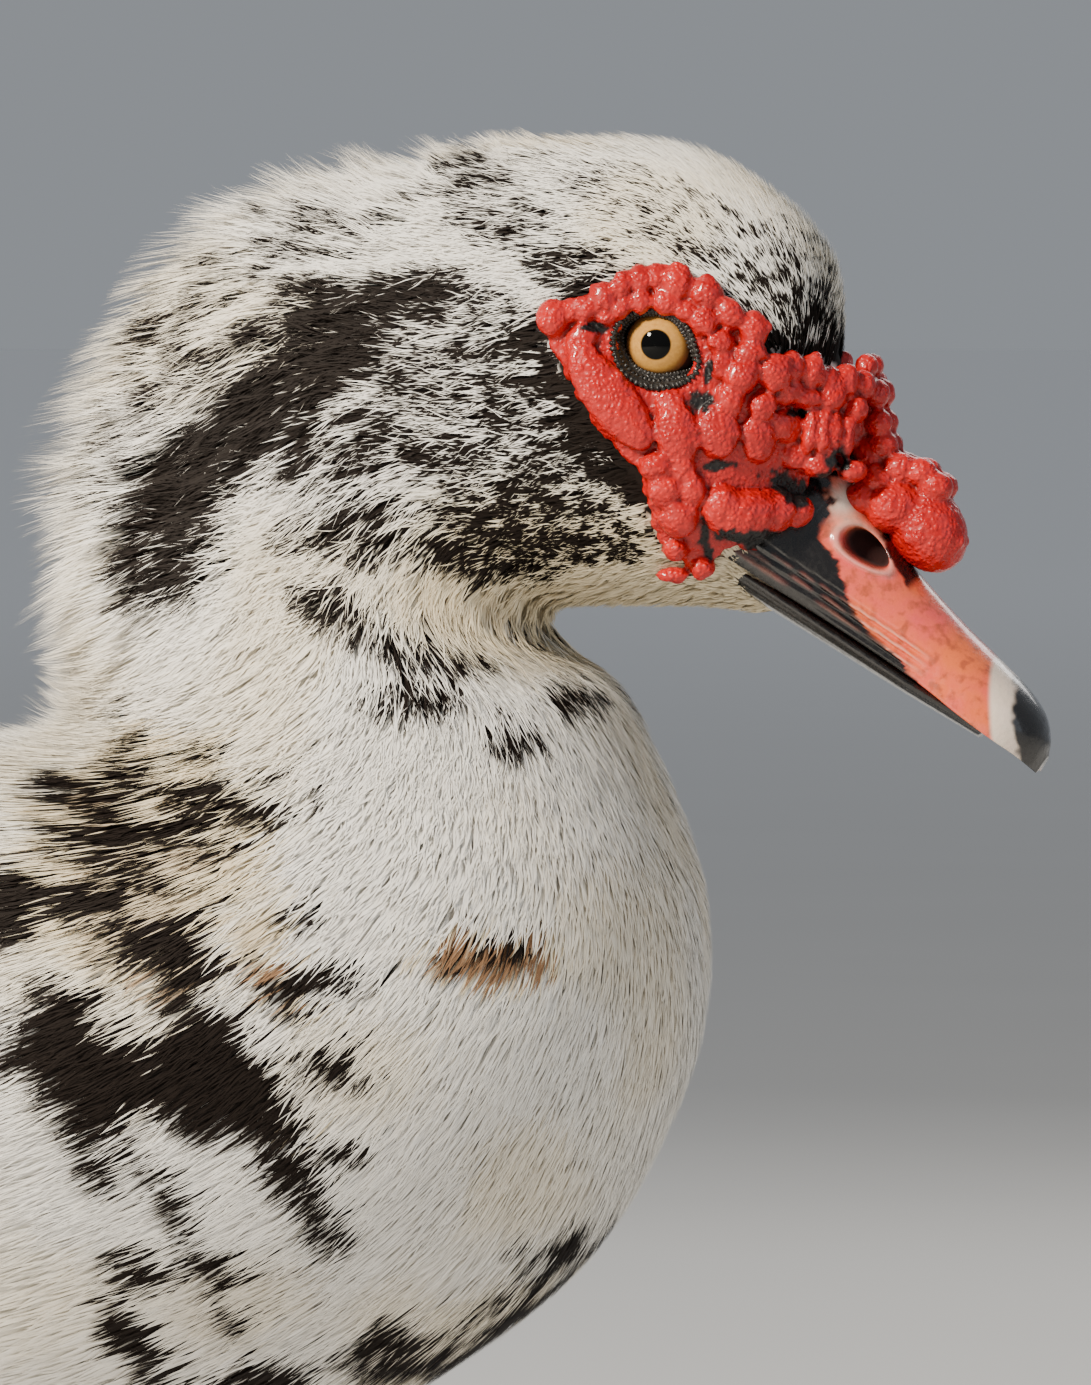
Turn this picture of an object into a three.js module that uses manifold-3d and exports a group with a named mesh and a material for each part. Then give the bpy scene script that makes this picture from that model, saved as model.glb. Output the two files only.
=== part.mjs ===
// A muscovy drake standing at rest with its neck drawn in, life size, in millimetres.
// +X points to the bill, +Y to the bird's left and +Z up, and the bird stands on z = 0.
import * as THREE from "three";
import { mergeVertices } from "three/addons/utils/BufferGeometryUtils.js";
import Module from "manifold-3d";

const wasm = await Module();
wasm.setup();

const GAP = 0.3;
const DEGREE = Math.PI / 180;

// Stations of the trunk from the bill's base to the tail's root. back and front are the points of the
// back line and the breast line as x, z. girth is the half width, then where it is widest, from 0 at
// the breast line to 1 at the back line.
const TRUNK = [
  { at: "bill base", back: [253, 304], front: [240, 257], girth: [11, 0.45] },
  { at: "forehead", back: [249, 327], front: [226, 258.5], girth: [23, 0.45] },
  { at: "crown", back: [222, 345], front: [210, 258.5], girth: [29, 0.42] },
  { at: "hindcrown", back: [178, 342.5], front: [200, 258], girth: [32, 0.42] },
  { at: "nape", back: [137, 327], front: [198, 255.6], girth: [35, 0.45] },
  { at: "hindneck", back: [117, 280], front: [198.6, 252.3], girth: [39, 0.5] },
  { at: "neck root", back: [110.5, 241], front: [213, 240], girth: [46, 0.52] },
  { at: "shoulder", back: [84, 234], front: [226.5, 203], girth: [64, 0.52] },
  { at: "breast", back: [40, 235.5], front: [221, 166], girth: [80, 0.5] },
  { at: "keel", back: [-5, 232], front: [193, 127], girth: [90, 0.5] },
  { at: "flank", back: [-50, 223.5], front: [125, 92], girth: [93, 0.5] },
  { at: "belly", back: [-90, 212], front: [20, 76.5], girth: [87, 0.52] },
  { at: "hip", back: [-125, 200.5], front: [-75, 94], girth: [69, 0.55] },
  { at: "vent", back: [-155, 190.5], front: [-135, 133], girth: [46, 0.55] },
  { at: "tail root", back: [-182, 182], front: [-180, 160], girth: [25, 0.5] },
];
const HEAD_END = 3.6;
const NECK_END = 6.4;

const clay = (hex, roughness) => new THREE.MeshStandardMaterial({ color: hex, roughness, metalness: 0 });
const MATERIALS = {
  plumage: clay(0xe9e4da, 0.9),
  dark_plumage: clay(0x2b2724, 0.7),
  caruncle: clay(0xd8352a, 0.45),
  bill: clay(0xd9735e, 0.35),
  dark_bill: clay(0x241f1e, 0.35),
  eye: clay(0xd79a3c, 0.1),
  lid: clay(0x2a2422, 0.5),
  leg: clay(0x6b5f45, 0.6),
  claw: clay(0x2e2a26, 0.5),
};

// Solids

// A closed geometry as a solid with its faces pointing out.
function solidOf(geometry) {
  const bare = new THREE.BufferGeometry().setAttribute("position", geometry.getAttribute("position"));
  if (geometry.index) bare.setIndex(geometry.index);
  const merged = mergeVertices(bare, 1e-4);
  const vertProperties = new Float32Array(merged.attributes.position.array);
  const triVerts = new Uint32Array(merged.index.array);
  const make = () => new wasm.Manifold(new wasm.Mesh({ numProp: 3, vertProperties, triVerts }));
  const made = make();
  if (made.volume() > 0) return made;
  for (let i = 0; i < triVerts.length; i += 3)
    [triVerts[i + 1], triVerts[i + 2]] = [triVerts[i + 2], triVerts[i + 1]];
  return make();
}

const unionOf = (solids) => wasm.Manifold.union(solids);

// The largest closed surface of a solid.
function largest(solid) {
  const bodies = solid.decompose();
  return bodies.reduce((most, body) => (body.volume() > most.volume() ? body : most));
}

function geometryOf(solid) {
  const mesh = solid.getMesh();
  const positions = new Float32Array(mesh.numVert * 3);
  for (let i = 0; i < mesh.numVert; i++)
    positions.set(mesh.vertProperties.subarray(i * mesh.numProp, i * mesh.numProp + 3), i * 3);
  return new THREE.BufferGeometry()
    .setAttribute("position", new THREE.BufferAttribute(positions, 3))
    .setIndex(new THREE.BufferAttribute(new Uint32Array(mesh.triVerts), 1));
}

// The closed skin over rings of equal count, with a fan over each end, the last one run out to tip
// where one is given. Both halves of a ring are split alike, so that two like sides stay so.
function skinOver(rings, tip) {
  const count = rings[0].length;
  const points = rings.flat();
  const index = [];
  for (let r = 0; r < rings.length - 1; r++)
    for (let i = 0; i < count; i++) {
      const [a, b] = [r * count + i, r * count + ((i + 1) % count)];
      if (i < count / 2) index.push(a, a + count, b + count, a, b + count, b);
      else index.push(a, a + count, b, a + count, b + count, b);
    }
  const cap = (ring, turned, peak) => {
    const sum = ring.reduce((total, point) => total.add(point), new THREE.Vector3());
    points.push(peak ?? sum.divideScalar(count));
    const first = points.indexOf(ring[0]);
    for (let i = 0; i < count; i++) {
      const [a, b] = [first + i, first + ((i + 1) % count)];
      index.push(points.length - 1, turned ? b : a, turned ? a : b);
    }
  };
  cap(rings[0], false);
  cap(rings.at(-1), true, tip);
  return new THREE.BufferGeometry().setFromPoints(points).setIndex(index);
}

const skinSolid = (rings, tip) => solidOf(skinOver(rings, tip));

const ball = (radius, detail, at) =>
  solidOf(new THREE.IcosahedronGeometry(radius, detail).translate(at.x, at.y, at.z));

// A shape drawn in x, z and pushed along y from y = near to y = far.
function sideSlab(shape, near, far, curveSegments) {
  const slab = new THREE.ExtrudeGeometry(shape, { depth: far - near, bevelEnabled: false, curveSegments });
  return slab.rotateX(Math.PI / 2).translate(0, far, 0);
}

const mirrored = (solid) => solid.mirror([0, 1, 0]);

// Numbers from 0 to 1 that are the same at every build.
function seeded(seed) {
  let state = seed;
  return () => {
    state = (state * 1664525 + 1013904223) % 4294967296;
    return state / 4294967296;
  };
}

// The value of key at a share along a row of stops.
function between(stops, share, key) {
  const found = stops.findIndex((stop) => stop.share >= share);
  const next = found < 0 ? stops.length - 1 : Math.max(1, found);
  const [from, to] = [stops[next - 1], stops[next]];
  return THREE.MathUtils.mapLinear(share, from.share, to.share, from[key], to[key]);
}

// Outlines of the thin forms: how wide each is at a share of its length.
const VANE = [
  { share: 0, wide: 0.5 }, { share: 0.3, wide: 0.92 }, { share: 0.62, wide: 1 },
  { share: 0.84, wide: 0.86 }, { share: 0.96, wide: 0.48 },
];
const LOCK = [{ share: 0, wide: 0.55 }, { share: 0.35, wide: 1 }, { share: 0.72, wide: 0.66 }];
const COVERT = [{ share: 0, wide: 0.6 }, { share: 0.4, wide: 0.96 }, { share: 0.8, wide: 0.9 }];

// A flat blade along a path. The path gives a point and the way up at a share of its length, and the
// blade droops at both edges by the bow and turns about its shaft by the roll.
function blade(path, { outline, stations, width, thick, bow = 0, roll = 0 }) {
  const reach = outline.at(-1).share;
  const rings = [];
  for (let i = 0; i < stations; i++) {
    const share = (reach * i) / (stations - 1);
    const { at, up } = path(share);
    const along = path(share + 0.02).at.sub(at).normalize();
    const across = along.clone().cross(up).normalize().applyAxisAngle(along, roll);
    const lift = across.clone().cross(along);
    const half = (width / 2) * between(outline, share, "wide");
    const droop = bow * (half / (width / 2)) ** 2;
    const edge = (side) => at.clone().addScaledVector(across, side * half).addScaledVector(lift, -droop);
    const face = (side) => at.clone().addScaledVector(lift, (side * thick) / 2);
    rings.push([edge(-1), face(1), edge(1), face(-1)]);
  }
  return skinSolid(rings, path(1).at);
}

// The trunk as a body of oval rings

const ROUNDNESS = 2.15;
const fuller = (value) => Math.sign(value) * Math.abs(value) ** (2 / ROUNDNESS);

class RingBody {
  constructor(stations) {
    const curve = (key) =>
      new THREE.CatmullRomCurve3(
        stations.map((station) => new THREE.Vector3(station[key][0], 0, station[key][1])),
        false,
        "catmullrom",
        0.5,
      );
    this.last = stations.length - 1;
    this.back = curve("back");
    this.front = curve("front");
    this.girth = curve("girth");
  }

  // The line of ring t, from its front point up to its back point.
  ring(t) {
    const share = THREE.MathUtils.clamp(t / this.last, 0, 1);
    const back = this.back.getPoint(share);
    const front = this.front.getPoint(share);
    const { x: half, z: widest } = this.girth.getPoint(share);
    const axis = back.clone().sub(front);
    const length = axis.length();
    return { back, front, half, widest, length, axis: axis.divideScalar(length) };
  }

  // The point at station t and angle phi, which runs from 0 on the back line down the left side,
  // moved out from the surface by grow.
  point(t, phi, grow = 0) {
    const { front, half, widest, length, axis } = this.ring(t);
    const up = Math.cos(phi);
    const along = length * (widest + fuller(up) * (up > 0 ? 1 - widest : widest));
    const at = front.clone().addScaledVector(axis, along).setY(fuller(Math.sin(phi)) * half);
    return grow ? at.addScaledVector(this.normal(t, phi), grow) : at;
  }

  normal(t, phi) {
    const step = 0.02;
    const ahead = Math.min(t, this.last - step);
    const along = this.point(ahead + step, phi).sub(this.point(ahead, phi));
    const round = this.point(t, phi + step).sub(this.point(t, phi - step));
    return round.cross(along).normalize();
  }

  // The station and angle where the left side shows at x, z in the side view.
  locate(x, z, low = 0, high = this.last) {
    for (let i = 0; i < 30; i++) {
      const middle = (low + high) / 2;
      const { front, axis } = this.ring(middle);
      const behind = axis.x * (z - front.z) - axis.z * (x - front.x) > 0;
      if (behind) low = middle;
      else high = middle;
    }
    const t = (low + high) / 2;
    const { front, axis, length, widest } = this.ring(t);
    const share = ((x - front.x) * axis.x + (z - front.z) * axis.z) / length;
    const above = share > widest;
    const full = Math.min(1, Math.abs(share - widest) / (above ? 1 - widest : widest));
    const up = full ** (ROUNDNESS / 2) * (above ? 1 : -1);
    return { t, phi: Math.acos(up) };
  }

  // The solid between two stations, moved out by grow. Its ends are flat, and each is moved by ends[i]
  // along the body.
  solid(from, to, steps, segments, grow = () => 0, ends = [0, 0]) {
    const rings = [];
    for (let i = 0; i <= steps; i++) {
      const t = from + ((to - from) * i) / steps;
      const { axis } = this.ring(t);
      const shift = i === 0 ? ends[0] : i === steps ? ends[1] : 0;
      const rearward = new THREE.Vector3(-axis.z, 0, axis.x).multiplyScalar(shift);
      const angles = Array.from({ length: segments }, (_, j) => (j / segments) * 2 * Math.PI);
      rings.push(angles.map((phi) => this.point(t, phi, grow(t, phi)).add(rearward)));
    }
    return skinSolid(rings);
  }
}

const trunk = new RingBody(TRUNK);
const RING_SEGMENTS = 22;
const TAIL_ROOT = TRUNK.length - 1;

// How deep the crown's and nape's coat is over the solid body, by station on the back line.
const COAT_DEPTH = [
  { share: 0, deep: 0 }, { share: 1, deep: 1 }, { share: 2.6, deep: 2.4 }, { share: 3.6, deep: 6 },
  { share: 4.6, deep: 8 }, { share: 5.6, deep: 6 }, { share: 6.6, deep: 2 }, { share: 7.2, deep: 0 },
  { share: 14, deep: 0 },
];
const coat = (t, phi) => between(COAT_DEPTH, t, "deep") * Math.max(0, Math.cos(phi)) ** 0.7;
const under = (extra) => (t, phi) => extra - coat(t, phi);
const STEPS = { head: 9, neck: 8, torso: 16 };
const headPart = (grow, ends) => trunk.solid(0, HEAD_END, STEPS.head, RING_SEGMENTS, grow, ends);
const torsoPart = (grow, ends) =>
  trunk.solid(NECK_END, TAIL_ROOT, STEPS.torso, RING_SEGMENTS, grow, ends);
const headCore = headPart(under(0));
const neckCore = trunk.solid(HEAD_END, NECK_END, STEPS.neck, RING_SEGMENTS, under(0), [GAP, 0]);
const torsoCore = torsoPart(under(0), [GAP, 0]);
const grownHead = headPart(under(GAP), [-GAP, 0]);
const grownTorso = torsoPart(under(GAP), [0, GAP]);

// Tapered locks in staggered rows over the back of the head and neck. Each row has its station, how
// many locks it holds, how far it reaches down each side, and the locks' length and width.
const CROWN_ROWS = [
  { t: 1.3, count: 3, spread: 34, length: 24, width: 10 },
  { t: 1.95, count: 4, spread: 42, length: 26, width: 11 },
  { t: 2.75, count: 3, spread: 36, length: 23, width: 13 },
];
const NAPE_ROWS = [
  { t: 3.74, count: 4, spread: 48, length: 28, width: 14 },
  { t: 4.26, count: 5, spread: 56, length: 31, width: 14 },
  { t: 4.8, count: 4, spread: 50, length: 30, width: 15 },
  { t: 5.34, count: 5, spread: 58, length: 26, width: 15 },
];
const LOCK_FORM = { outline: LOCK, stations: 3, thick: 1.8, bow: 1, sunk: 2 };

function locks(rows, seed) {
  const random = seeded(seed);
  const made = [];
  for (const { t, count, spread, length, width } of rows)
    for (let i = 0; i < count; i++) {
      const phi = (((i + 0.5) / count) * 2 - 1) * spread * DEGREE;
      const long = length * (0.88 + 0.24 * random());
      const pace = trunk.point(t + 0.05, phi).distanceTo(trunk.point(t, phi)) / 0.05;
      const path = (share) => {
        const [station, angle] = [t + (share * long) / pace, phi * (1 + 0.08 * share)];
        const sunk = LOCK_FORM.sunk * (1 - share) ** 2;
        const rise = coat(station, angle) * (share ** 1.2 - 1) - sunk;
        return { at: trunk.point(station, angle, rise), up: trunk.normal(station, angle) };
      };
      made.push(blade(path, { ...LOCK_FORM, width }));
    }
  return made;
}

// Eyes and lids, built on the left and mirrored

const EYE = { x: 222.5, y: 20.6, z: 308, radius: 7.4 };
const LID = { thick: 1.3, from: 2, halfLength: 6.3, halfHeight: 4.8, tilt: -14 * DEGREE };
const eyeCentre = new THREE.Vector3(EYE.x, EYE.y, EYE.z);
const eyeBall = (radius) => ball(radius, 2, eyeCentre);
const socket = eyeBall(EYE.radius + LID.thick + 2 * GAP);

// The almond between the lids, drawn in x, z about the eye's centre.
function lidOpening() {
  const { halfLength: a, halfHeight: b } = LID;
  const almond = new THREE.Shape()
    .moveTo(a, -b * 0.35)
    .bezierCurveTo(a * 0.75, b * 0.8, a * 0.35, b, -a * 0.1, b)
    .bezierCurveTo(-a * 0.75, b, -a, b * 0.4, -a, -b * 0.1)
    .bezierCurveTo(-a * 0.9, -b * 0.8, -a * 0.3, -b, a * 0.1, -b)
    .bezierCurveTo(a * 0.5, -b, a * 0.8, -b * 0.7, a, -b * 0.35);
  const slab = sideSlab(almond, 0, 2 * EYE.y, 3).rotateY(-LID.tilt);
  return solidOf(slab.translate(EYE.x, EYE.y, EYE.z));
}

const leftLids = eyeBall(EYE.radius + GAP + LID.thick)
  .subtract(eyeBall(EYE.radius + GAP))
  .subtract(lidOpening())
  .trimByPlane([0, 1, 0], EYE.y + LID.from);

// The bill in its own frame: u runs along it from the gape, v is up from the line of the mouth

const GAPE = new THREE.Vector3(231.5, 0, 269.5);
const BILL_DROOP = 33 * DEGREE;
const billAlong = new THREE.Vector3(Math.cos(BILL_DROOP), 0, -Math.sin(BILL_DROOP));
const billUp = new THREE.Vector3(Math.sin(BILL_DROOP), 0, Math.cos(BILL_DROOP));
const billPoint = (u, v, y = 0) =>
  GAPE.clone().addScaledVector(billAlong, u).addScaledVector(billUp, v).setY(y);

// Sections of the upper bill: how far along, half width, the culmen's height and the edge's height.
const UPPER_BILL = [
  { u: -6, half: 14.5, top: 26, edge: 0 },
  { u: 8, half: 14.5, top: 24.5, edge: 0 },
  { u: 20, half: 13.6, top: 19.8, edge: 0.2 },
  { u: 32, half: 12.6, top: 15.6, edge: 0.2 },
  { u: 44, half: 12.6, top: 12.4, edge: 0 },
  { u: 54, half: 13.2, top: 10.4, edge: -0.8 },
  { u: 61, half: 12.2, top: 8.8, edge: -1.3 },
  { u: 66, half: 9.2, top: 6.6, edge: -1.7 },
  { u: 69, half: 5.8, top: 3.6, edge: -2.4 },
  { u: 70.6, half: 2.6, top: 0.6, edge: -3 },
];
const LOWER_BILL = { root: -4, tip: 58, half: 11.4, depth: 4.6, tipDepth: 2.6, narrowsAt: 0.75 };
const NOSTRIL = { u: 23.2, v: 13.9, y: 10.5, long: 4.6, high: 2.7, deep: 4, tilt: -9 * DEGREE };

// An arch over the mouth line, closed below by a shallow palate.
const PALATE = 0.6;
function billRing({ u, half, top, edge }, grow) {
  const arch = 10;
  const low = edge - grow;
  const ring = [];
  for (let i = 0; i <= arch; i++) {
    const angle = (Math.PI * i) / arch;
    const rise = Math.sin(angle) ** 0.8 * (top + grow - low);
    ring.push(billPoint(u, low + rise, Math.cos(angle) * (half + grow)));
  }
  for (const share of [-0.5, 0, 0.5])
    ring.push(billPoint(u, low + (grow ? 0 : PALATE * (1 - share ** 2)), share * half));
  return ring;
}

const upperBill = (grow = 0) => skinSolid(UPPER_BILL.map((section) => billRing(section, grow)));

// A shallow trough, flat on top, whose front end is drawn in to a rounded tip.
function lowerBill() {
  const { root, tip, half, depth, tipDepth, narrowsAt } = LOWER_BILL;
  const [steps, arch] = [8, 7];
  const top = -GAP - 2 * PALATE;
  const rings = [];
  for (let i = 0; i <= steps; i++) {
    const share = i / steps;
    const drawnIn = Math.max(0, share - narrowsAt) / (1 - narrowsAt);
    const wide = half * Math.sqrt(1 - 0.8 * drawnIn);
    const deep = THREE.MathUtils.lerp(depth, tipDepth, share);
    const ring = Array.from({ length: arch + 1 }, (_, j) => {
      const angle = (Math.PI * j) / arch;
      const fall = Math.sin(angle) ** 0.7 * deep;
      return billPoint(THREE.MathUtils.lerp(root, tip, share), top - fall, -Math.cos(angle) * wide);
    });
    rings.push(ring);
  }
  return skinSolid(rings);
}

function nostril() {
  const { u, v, y, long, high, deep, tilt } = NOSTRIL;
  const plug = new THREE.CylinderGeometry(1, 1, deep * 2, 12);
  plug.scale(long, 1, high).rotateY(BILL_DROOP - tilt);
  return solidOf(plug.translate(...billPoint(u, v, y)));
}

// Red skin of the face: a raised mask with bulbs and folds on each side of the head, and the knob

const MASK_THICK = 1.8;
// The mask's edge in the side view as [x, z], from behind the eye over the brow, down the forehead to
// the bill's base, along the gape and back over the cheek.
const MASK_OUTLINE = [
  [202, 311.5], [207, 315], [215, 318.5], [224, 320], [232, 318], [238, 312.5], [241, 306.5],
  [250, 303], [258, 299.5], [261, 290], [258, 283], [252, 278.5], [250, 274], [241, 269.5],
  [233, 269], [228, 265.5], [223.5, 268], [221.5, 276], [218.5, 286], [213, 291.5], [207, 301.5],
];
// Rows of bulbs round the eye, by angle about its centre, from behind it over the top to the front.
const BROW_ROWS = [
  { count: 9, from: 163, to: -44, wide: 18.2, high: 11.4, radius: 3.1, long: 1.25 },
  { count: 3, from: 112, to: 0, wide: 12.6, high: 9, radius: 2.3, long: 1 },
];
// A row from the brow's front end round to the middle of the forehead, over the bill.
const RIDGE_ROW = {
  count: 4, from: [244, 19, 301], to: [258.5, 4.5, 296.5], out: [0.5, 0.6, 0.6], radius: 3.5,
};
// Folds and single bulbs: where they are in the side view, half their length, half their width, how
// far they stand out and how they are turned.
const FOLDS = [
  { fold: "rear cheek", x: 215.5, z: 297, half: [11.5, 5.4, 2.1], turn: -50 },
  { fold: "middle cheek", x: 230.5, z: 290.5, half: [8.5, 5.5, 2.1], turn: -62 },
  { fold: "front cheek", x: 241, z: 291.5, half: [7, 5.5, 2.3], turn: -80 },
  { fold: "upper lore", x: 251, z: 292, half: [6, 5, 4.4], turn: 80 },
  { fold: "lower lore", x: 251, z: 284, half: [4.2, 3.4, 3.6], turn: 60 },
  { fold: "gape lobe", x: 239.5, z: 276.3, half: [10, 6, 4.6], turn: -6 },
  { fold: "jaw, top", x: 221.5, z: 283.5, half: [2.9, 2.5, 2.6], turn: 0 },
  { fold: "jaw, middle", x: 224.5, z: 277.5, half: [4.4, 3.1, 3], turn: 80 },
  { fold: "jaw, low", x: 226.5, z: 271.4, half: [2.4, 2.1, 2.5], turn: 0 },
  { fold: "jaw, lowest", x: 230.5, z: 267.2, half: [2.6, 1.9, 2.4], turn: -20 },
];
// The knob hangs over the culmen, and these are its lobes from the forehead to its tip.
const KNOB = { u: 26.8, v: 23.3, half: [9.2, 7.6, 8.4], cut: 15.4 };
const KNOB_LOBES = { count: 3, from: 150, to: 40, radius: 3.8, out: 6.7, aside: 2.4 };
const BRIDGE = [
  { u: 5, v: 31, radius: 6.2 },
  { u: 13.5, v: 28.6, radius: 4.8 },
];

// The upper part of a round ball, by how far its rings are tilted from its top.
const DOME = { sides: 6, tilts: [110, 50] };
function dome() {
  const rings = DOME.tilts.map((tilt) =>
    Array.from({ length: DOME.sides }, (_, i) =>
      new THREE.Vector3().setFromSphericalCoords(1, tilt * DEGREE, (-i / DOME.sides) * 2 * Math.PI)));
  return skinOver(rings, new THREE.Vector3(0, 1, 0)).rotateX(Math.PI / 2);
}

// An oval bulb whose half sizes lie along its own row, across it and out from the skin.
function bulb(at, out, turn, half) {
  const row = new THREE.Vector3(Math.cos(turn), 0, Math.sin(turn));
  row.addScaledVector(out, -row.dot(out)).normalize();
  const basis = new THREE.Matrix4().makeBasis(row, out.clone().cross(row), out).setPosition(at);
  return solidOf(dome().scale(...half).applyMatrix4(basis));
}

// A bulb on the side of the head. Its foot lies within the mask, deeper where it is long.
function sideBulb(x, z, turn, half) {
  const { t, phi } = trunk.locate(x, z, 0, HEAD_END);
  const foot = half[0] > 5 ? 0.1 : 0.7;
  return bulb(trunk.point(t, phi, foot + half[2] / 3), trunk.normal(t, phi), turn, half);
}

function browBulbs({ count, from, to, wide, high, radius, long }, random) {
  return Array.from({ length: count }, (_, i) => {
    const angle = THREE.MathUtils.lerp(from, to, i / (count - 1)) * DEGREE;
    const turn = Math.atan2(high * Math.cos(angle), -wide * Math.sin(angle));
    const size = radius * (0.85 + 0.35 * random());
    const [x, z] = [EYE.x + wide * Math.cos(angle), EYE.z + high * Math.sin(angle)];
    return sideBulb(x, z, turn, [size, size * long, size]);
  });
}

function leftMask() {
  const outline = new THREE.Shape(MASK_OUTLINE.map((p) => new THREE.Vector2(...p)));
  const side = solidOf(sideSlab(outline, -1, 60, 1));
  const pad = headPart(() => MASK_THICK, [-MASK_THICK, 0]).intersect(side);
  const random = seeded(11);
  const { count, from, to, out, radius } = RIDGE_ROW;
  const ridge = Array.from({ length: count }, (_, i) => {
    const at = new THREE.Vector3(...from).lerp(new THREE.Vector3(...to), i / (count - 1));
    const size = radius * (0.9 + 0.25 * random());
    return bulb(at, new THREE.Vector3(...out).normalize(), Math.PI / 2, [size * 1.15, size, size]);
  });
  const folds = FOLDS.map(({ x, z, half, turn }) => sideBulb(x, z, turn * DEGREE, half));
  return unionOf([pad, ...BROW_ROWS.flatMap((row) => browBulbs(row, random)), ...ridge, ...folds]);
}

const pebble = (radius, at) => solidOf(new THREE.SphereGeometry(radius, 7, 5).translate(...at));

function knobAndBridge() {
  const middle = billPoint(KNOB.u, KNOB.v);
  const basis = new THREE.Matrix4().makeRotationY(Math.PI / 2 - BILL_DROOP).setPosition(middle);
  const body = solidOf(new THREE.IcosahedronGeometry(1, 1).scale(...KNOB.half).applyMatrix4(basis));
  const { count, from, to, radius, out, aside } = KNOB_LOBES;
  const lobes = Array.from({ length: count }, (_, i) => {
    const angle = THREE.MathUtils.lerp(from, to, i / (count - 1)) * DEGREE;
    const [u, v] = [KNOB.u + out * Math.cos(angle), KNOB.v + out * Math.sin(angle)];
    return pebble(radius, billPoint(u, v, i % 2 ? aside : -aside));
  });
  const bridge = BRIDGE.map((link) => pebble(link.radius, billPoint(link.u, link.v)));
  return [body, ...lobes, ...bridge];
}

// All the red skin is joined, and then parted down the middle and behind the knob.
const mask = leftMask();
const redSkin = unionOf([mask, mirrored(mask), ...knobAndBridge()])
  .subtract(grownHead)
  .subtract(upperBill(GAP))
  .subtract(unionOf([socket, mirrored(socket)]));
const knobPlane = KNOB.cut + GAPE.dot(billAlong);
const knobSkin = redSkin.trimByPlane(billAlong.toArray(), knobPlane + GAP);
const maskSkin = redSkin.trimByPlane(billAlong.clone().negate().toArray(), -knobPlane);

// Wings

// The wing lies on this body, which is the trunk run out straight over the tail.
const SHEATH = [
  ...TRUNK.slice(0, 11),
  { at: "belly", back: [-92, 214], front: [10, 84], girth: [88, 0.52] },
  { at: "hip", back: [-134, 207], front: [-80, 110], girth: [72, 0.55] },
  { at: "vent", back: [-180, 201], front: [-152, 150], girth: [50, 0.55] },
  { at: "wing tip", back: [-238, 197], front: [-234, 168], girth: [26, 0.5] },
];
const sheath = new RingBody(SHEATH);
const WING = { front: 8, coreEnd: 0.7, thick: 3.4, roll: -6 * DEGREE, risen: 0.3, sunk: 2.5 };
// The folded wing's upper and lower edges as angles on the sheath, from the shoulder to the tip.
const WING_EDGES = [
  { share: 0, top: 62, low: 84 },
  { share: 0.12, top: 42, low: 102 },
  { share: 0.4, top: 24, low: 108 },
  { share: 0.7, top: 20, low: 100 },
  { share: 0.9, top: 22, low: 84 },
  { share: 1, top: 32, low: 66 },
];
// Tiers of vanes from the lowest to the highest. from and to are where the tier's first and last
// vanes have their roots, and tips where they end, as [share of the wing's length, share of its
// height down from the upper edge]. lift is the height of roots and tips over the sheath, and step
// what each further vane adds to it, so that the upper vane of a pair overlaps the lower one.
const WING_TIERS = [
  { tier: "primaries", count: 4, from: [0.56, 0.76], to: [0.56, 0.5],
    tips: [[0.88, 0.86], [1, 0.42]], width: 15, lift: [1, 2.4], step: 1, stations: 4 },
  { tier: "secondaries", count: 5, from: [0.3, 0.86], to: [0.46, 0.44],
    tips: [[0.6, 0.98], [0.86, 0.52]], width: 18, lift: [1, 4.6], step: 0.6, stations: 4 },
  { tier: "tertials", count: 3, from: [0.4, 0.38], to: [0.4, 0.14],
    tips: [[0.86, 0.38], [0.82, 0.1]], width: 21, lift: [1, 6.8], step: 0.6, stations: 4 },
  { tier: "greater coverts", count: 5, from: [0.2, 0.87], to: [0.34, 0.42],
    tips: [[0.45, 0.96], [0.6, 0.5]], width: 20, lift: [1, 7.4], step: 0.5, stations: 3 },
  { tier: "median coverts", count: 4, from: [0.12, 0.83], to: [0.23, 0.4],
    tips: [[0.33, 0.9], [0.44, 0.44]], width: 23, lift: [1, 9], step: 0.5, stations: 3 },
  { tier: "lesser coverts", count: 4, from: [0.04, 0.8], to: [0.13, 0.36],
    tips: [[0.21, 0.87], [0.31, 0.4]], width: 22, lift: [1, 10.2], step: 0.5, stations: 3 },
  { tier: "scapulars", count: 3, from: [0.1, 0.26], to: [0.22, 0.05],
    tips: [[0.44, 0.25], [0.58, 0.06]], width: 22, lift: [1, 9.4], step: 0.8, stations: 3 },
];
// Long vanes are drawn out to a rounded tip, and coverts are broad.
const VANE_THICK = 1;
const vane = (path, width, stations, roll) =>
  blade(path, { outline: stations > 3 ? VANE : COVERT, stations, width, thick: VANE_THICK, roll });

// The point of the wing at a share of its length and a share down from its upper edge.
function wingSpot(share, down) {
  const t = THREE.MathUtils.lerp(WING.front, TAIL_ROOT, Math.min(share, 1));
  const edges = ["top", "low"].map((edge) => between(WING_EDGES, Math.min(share, 1), edge));
  return [t, THREE.MathUtils.lerp(...edges, down) * DEGREE];
}

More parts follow.
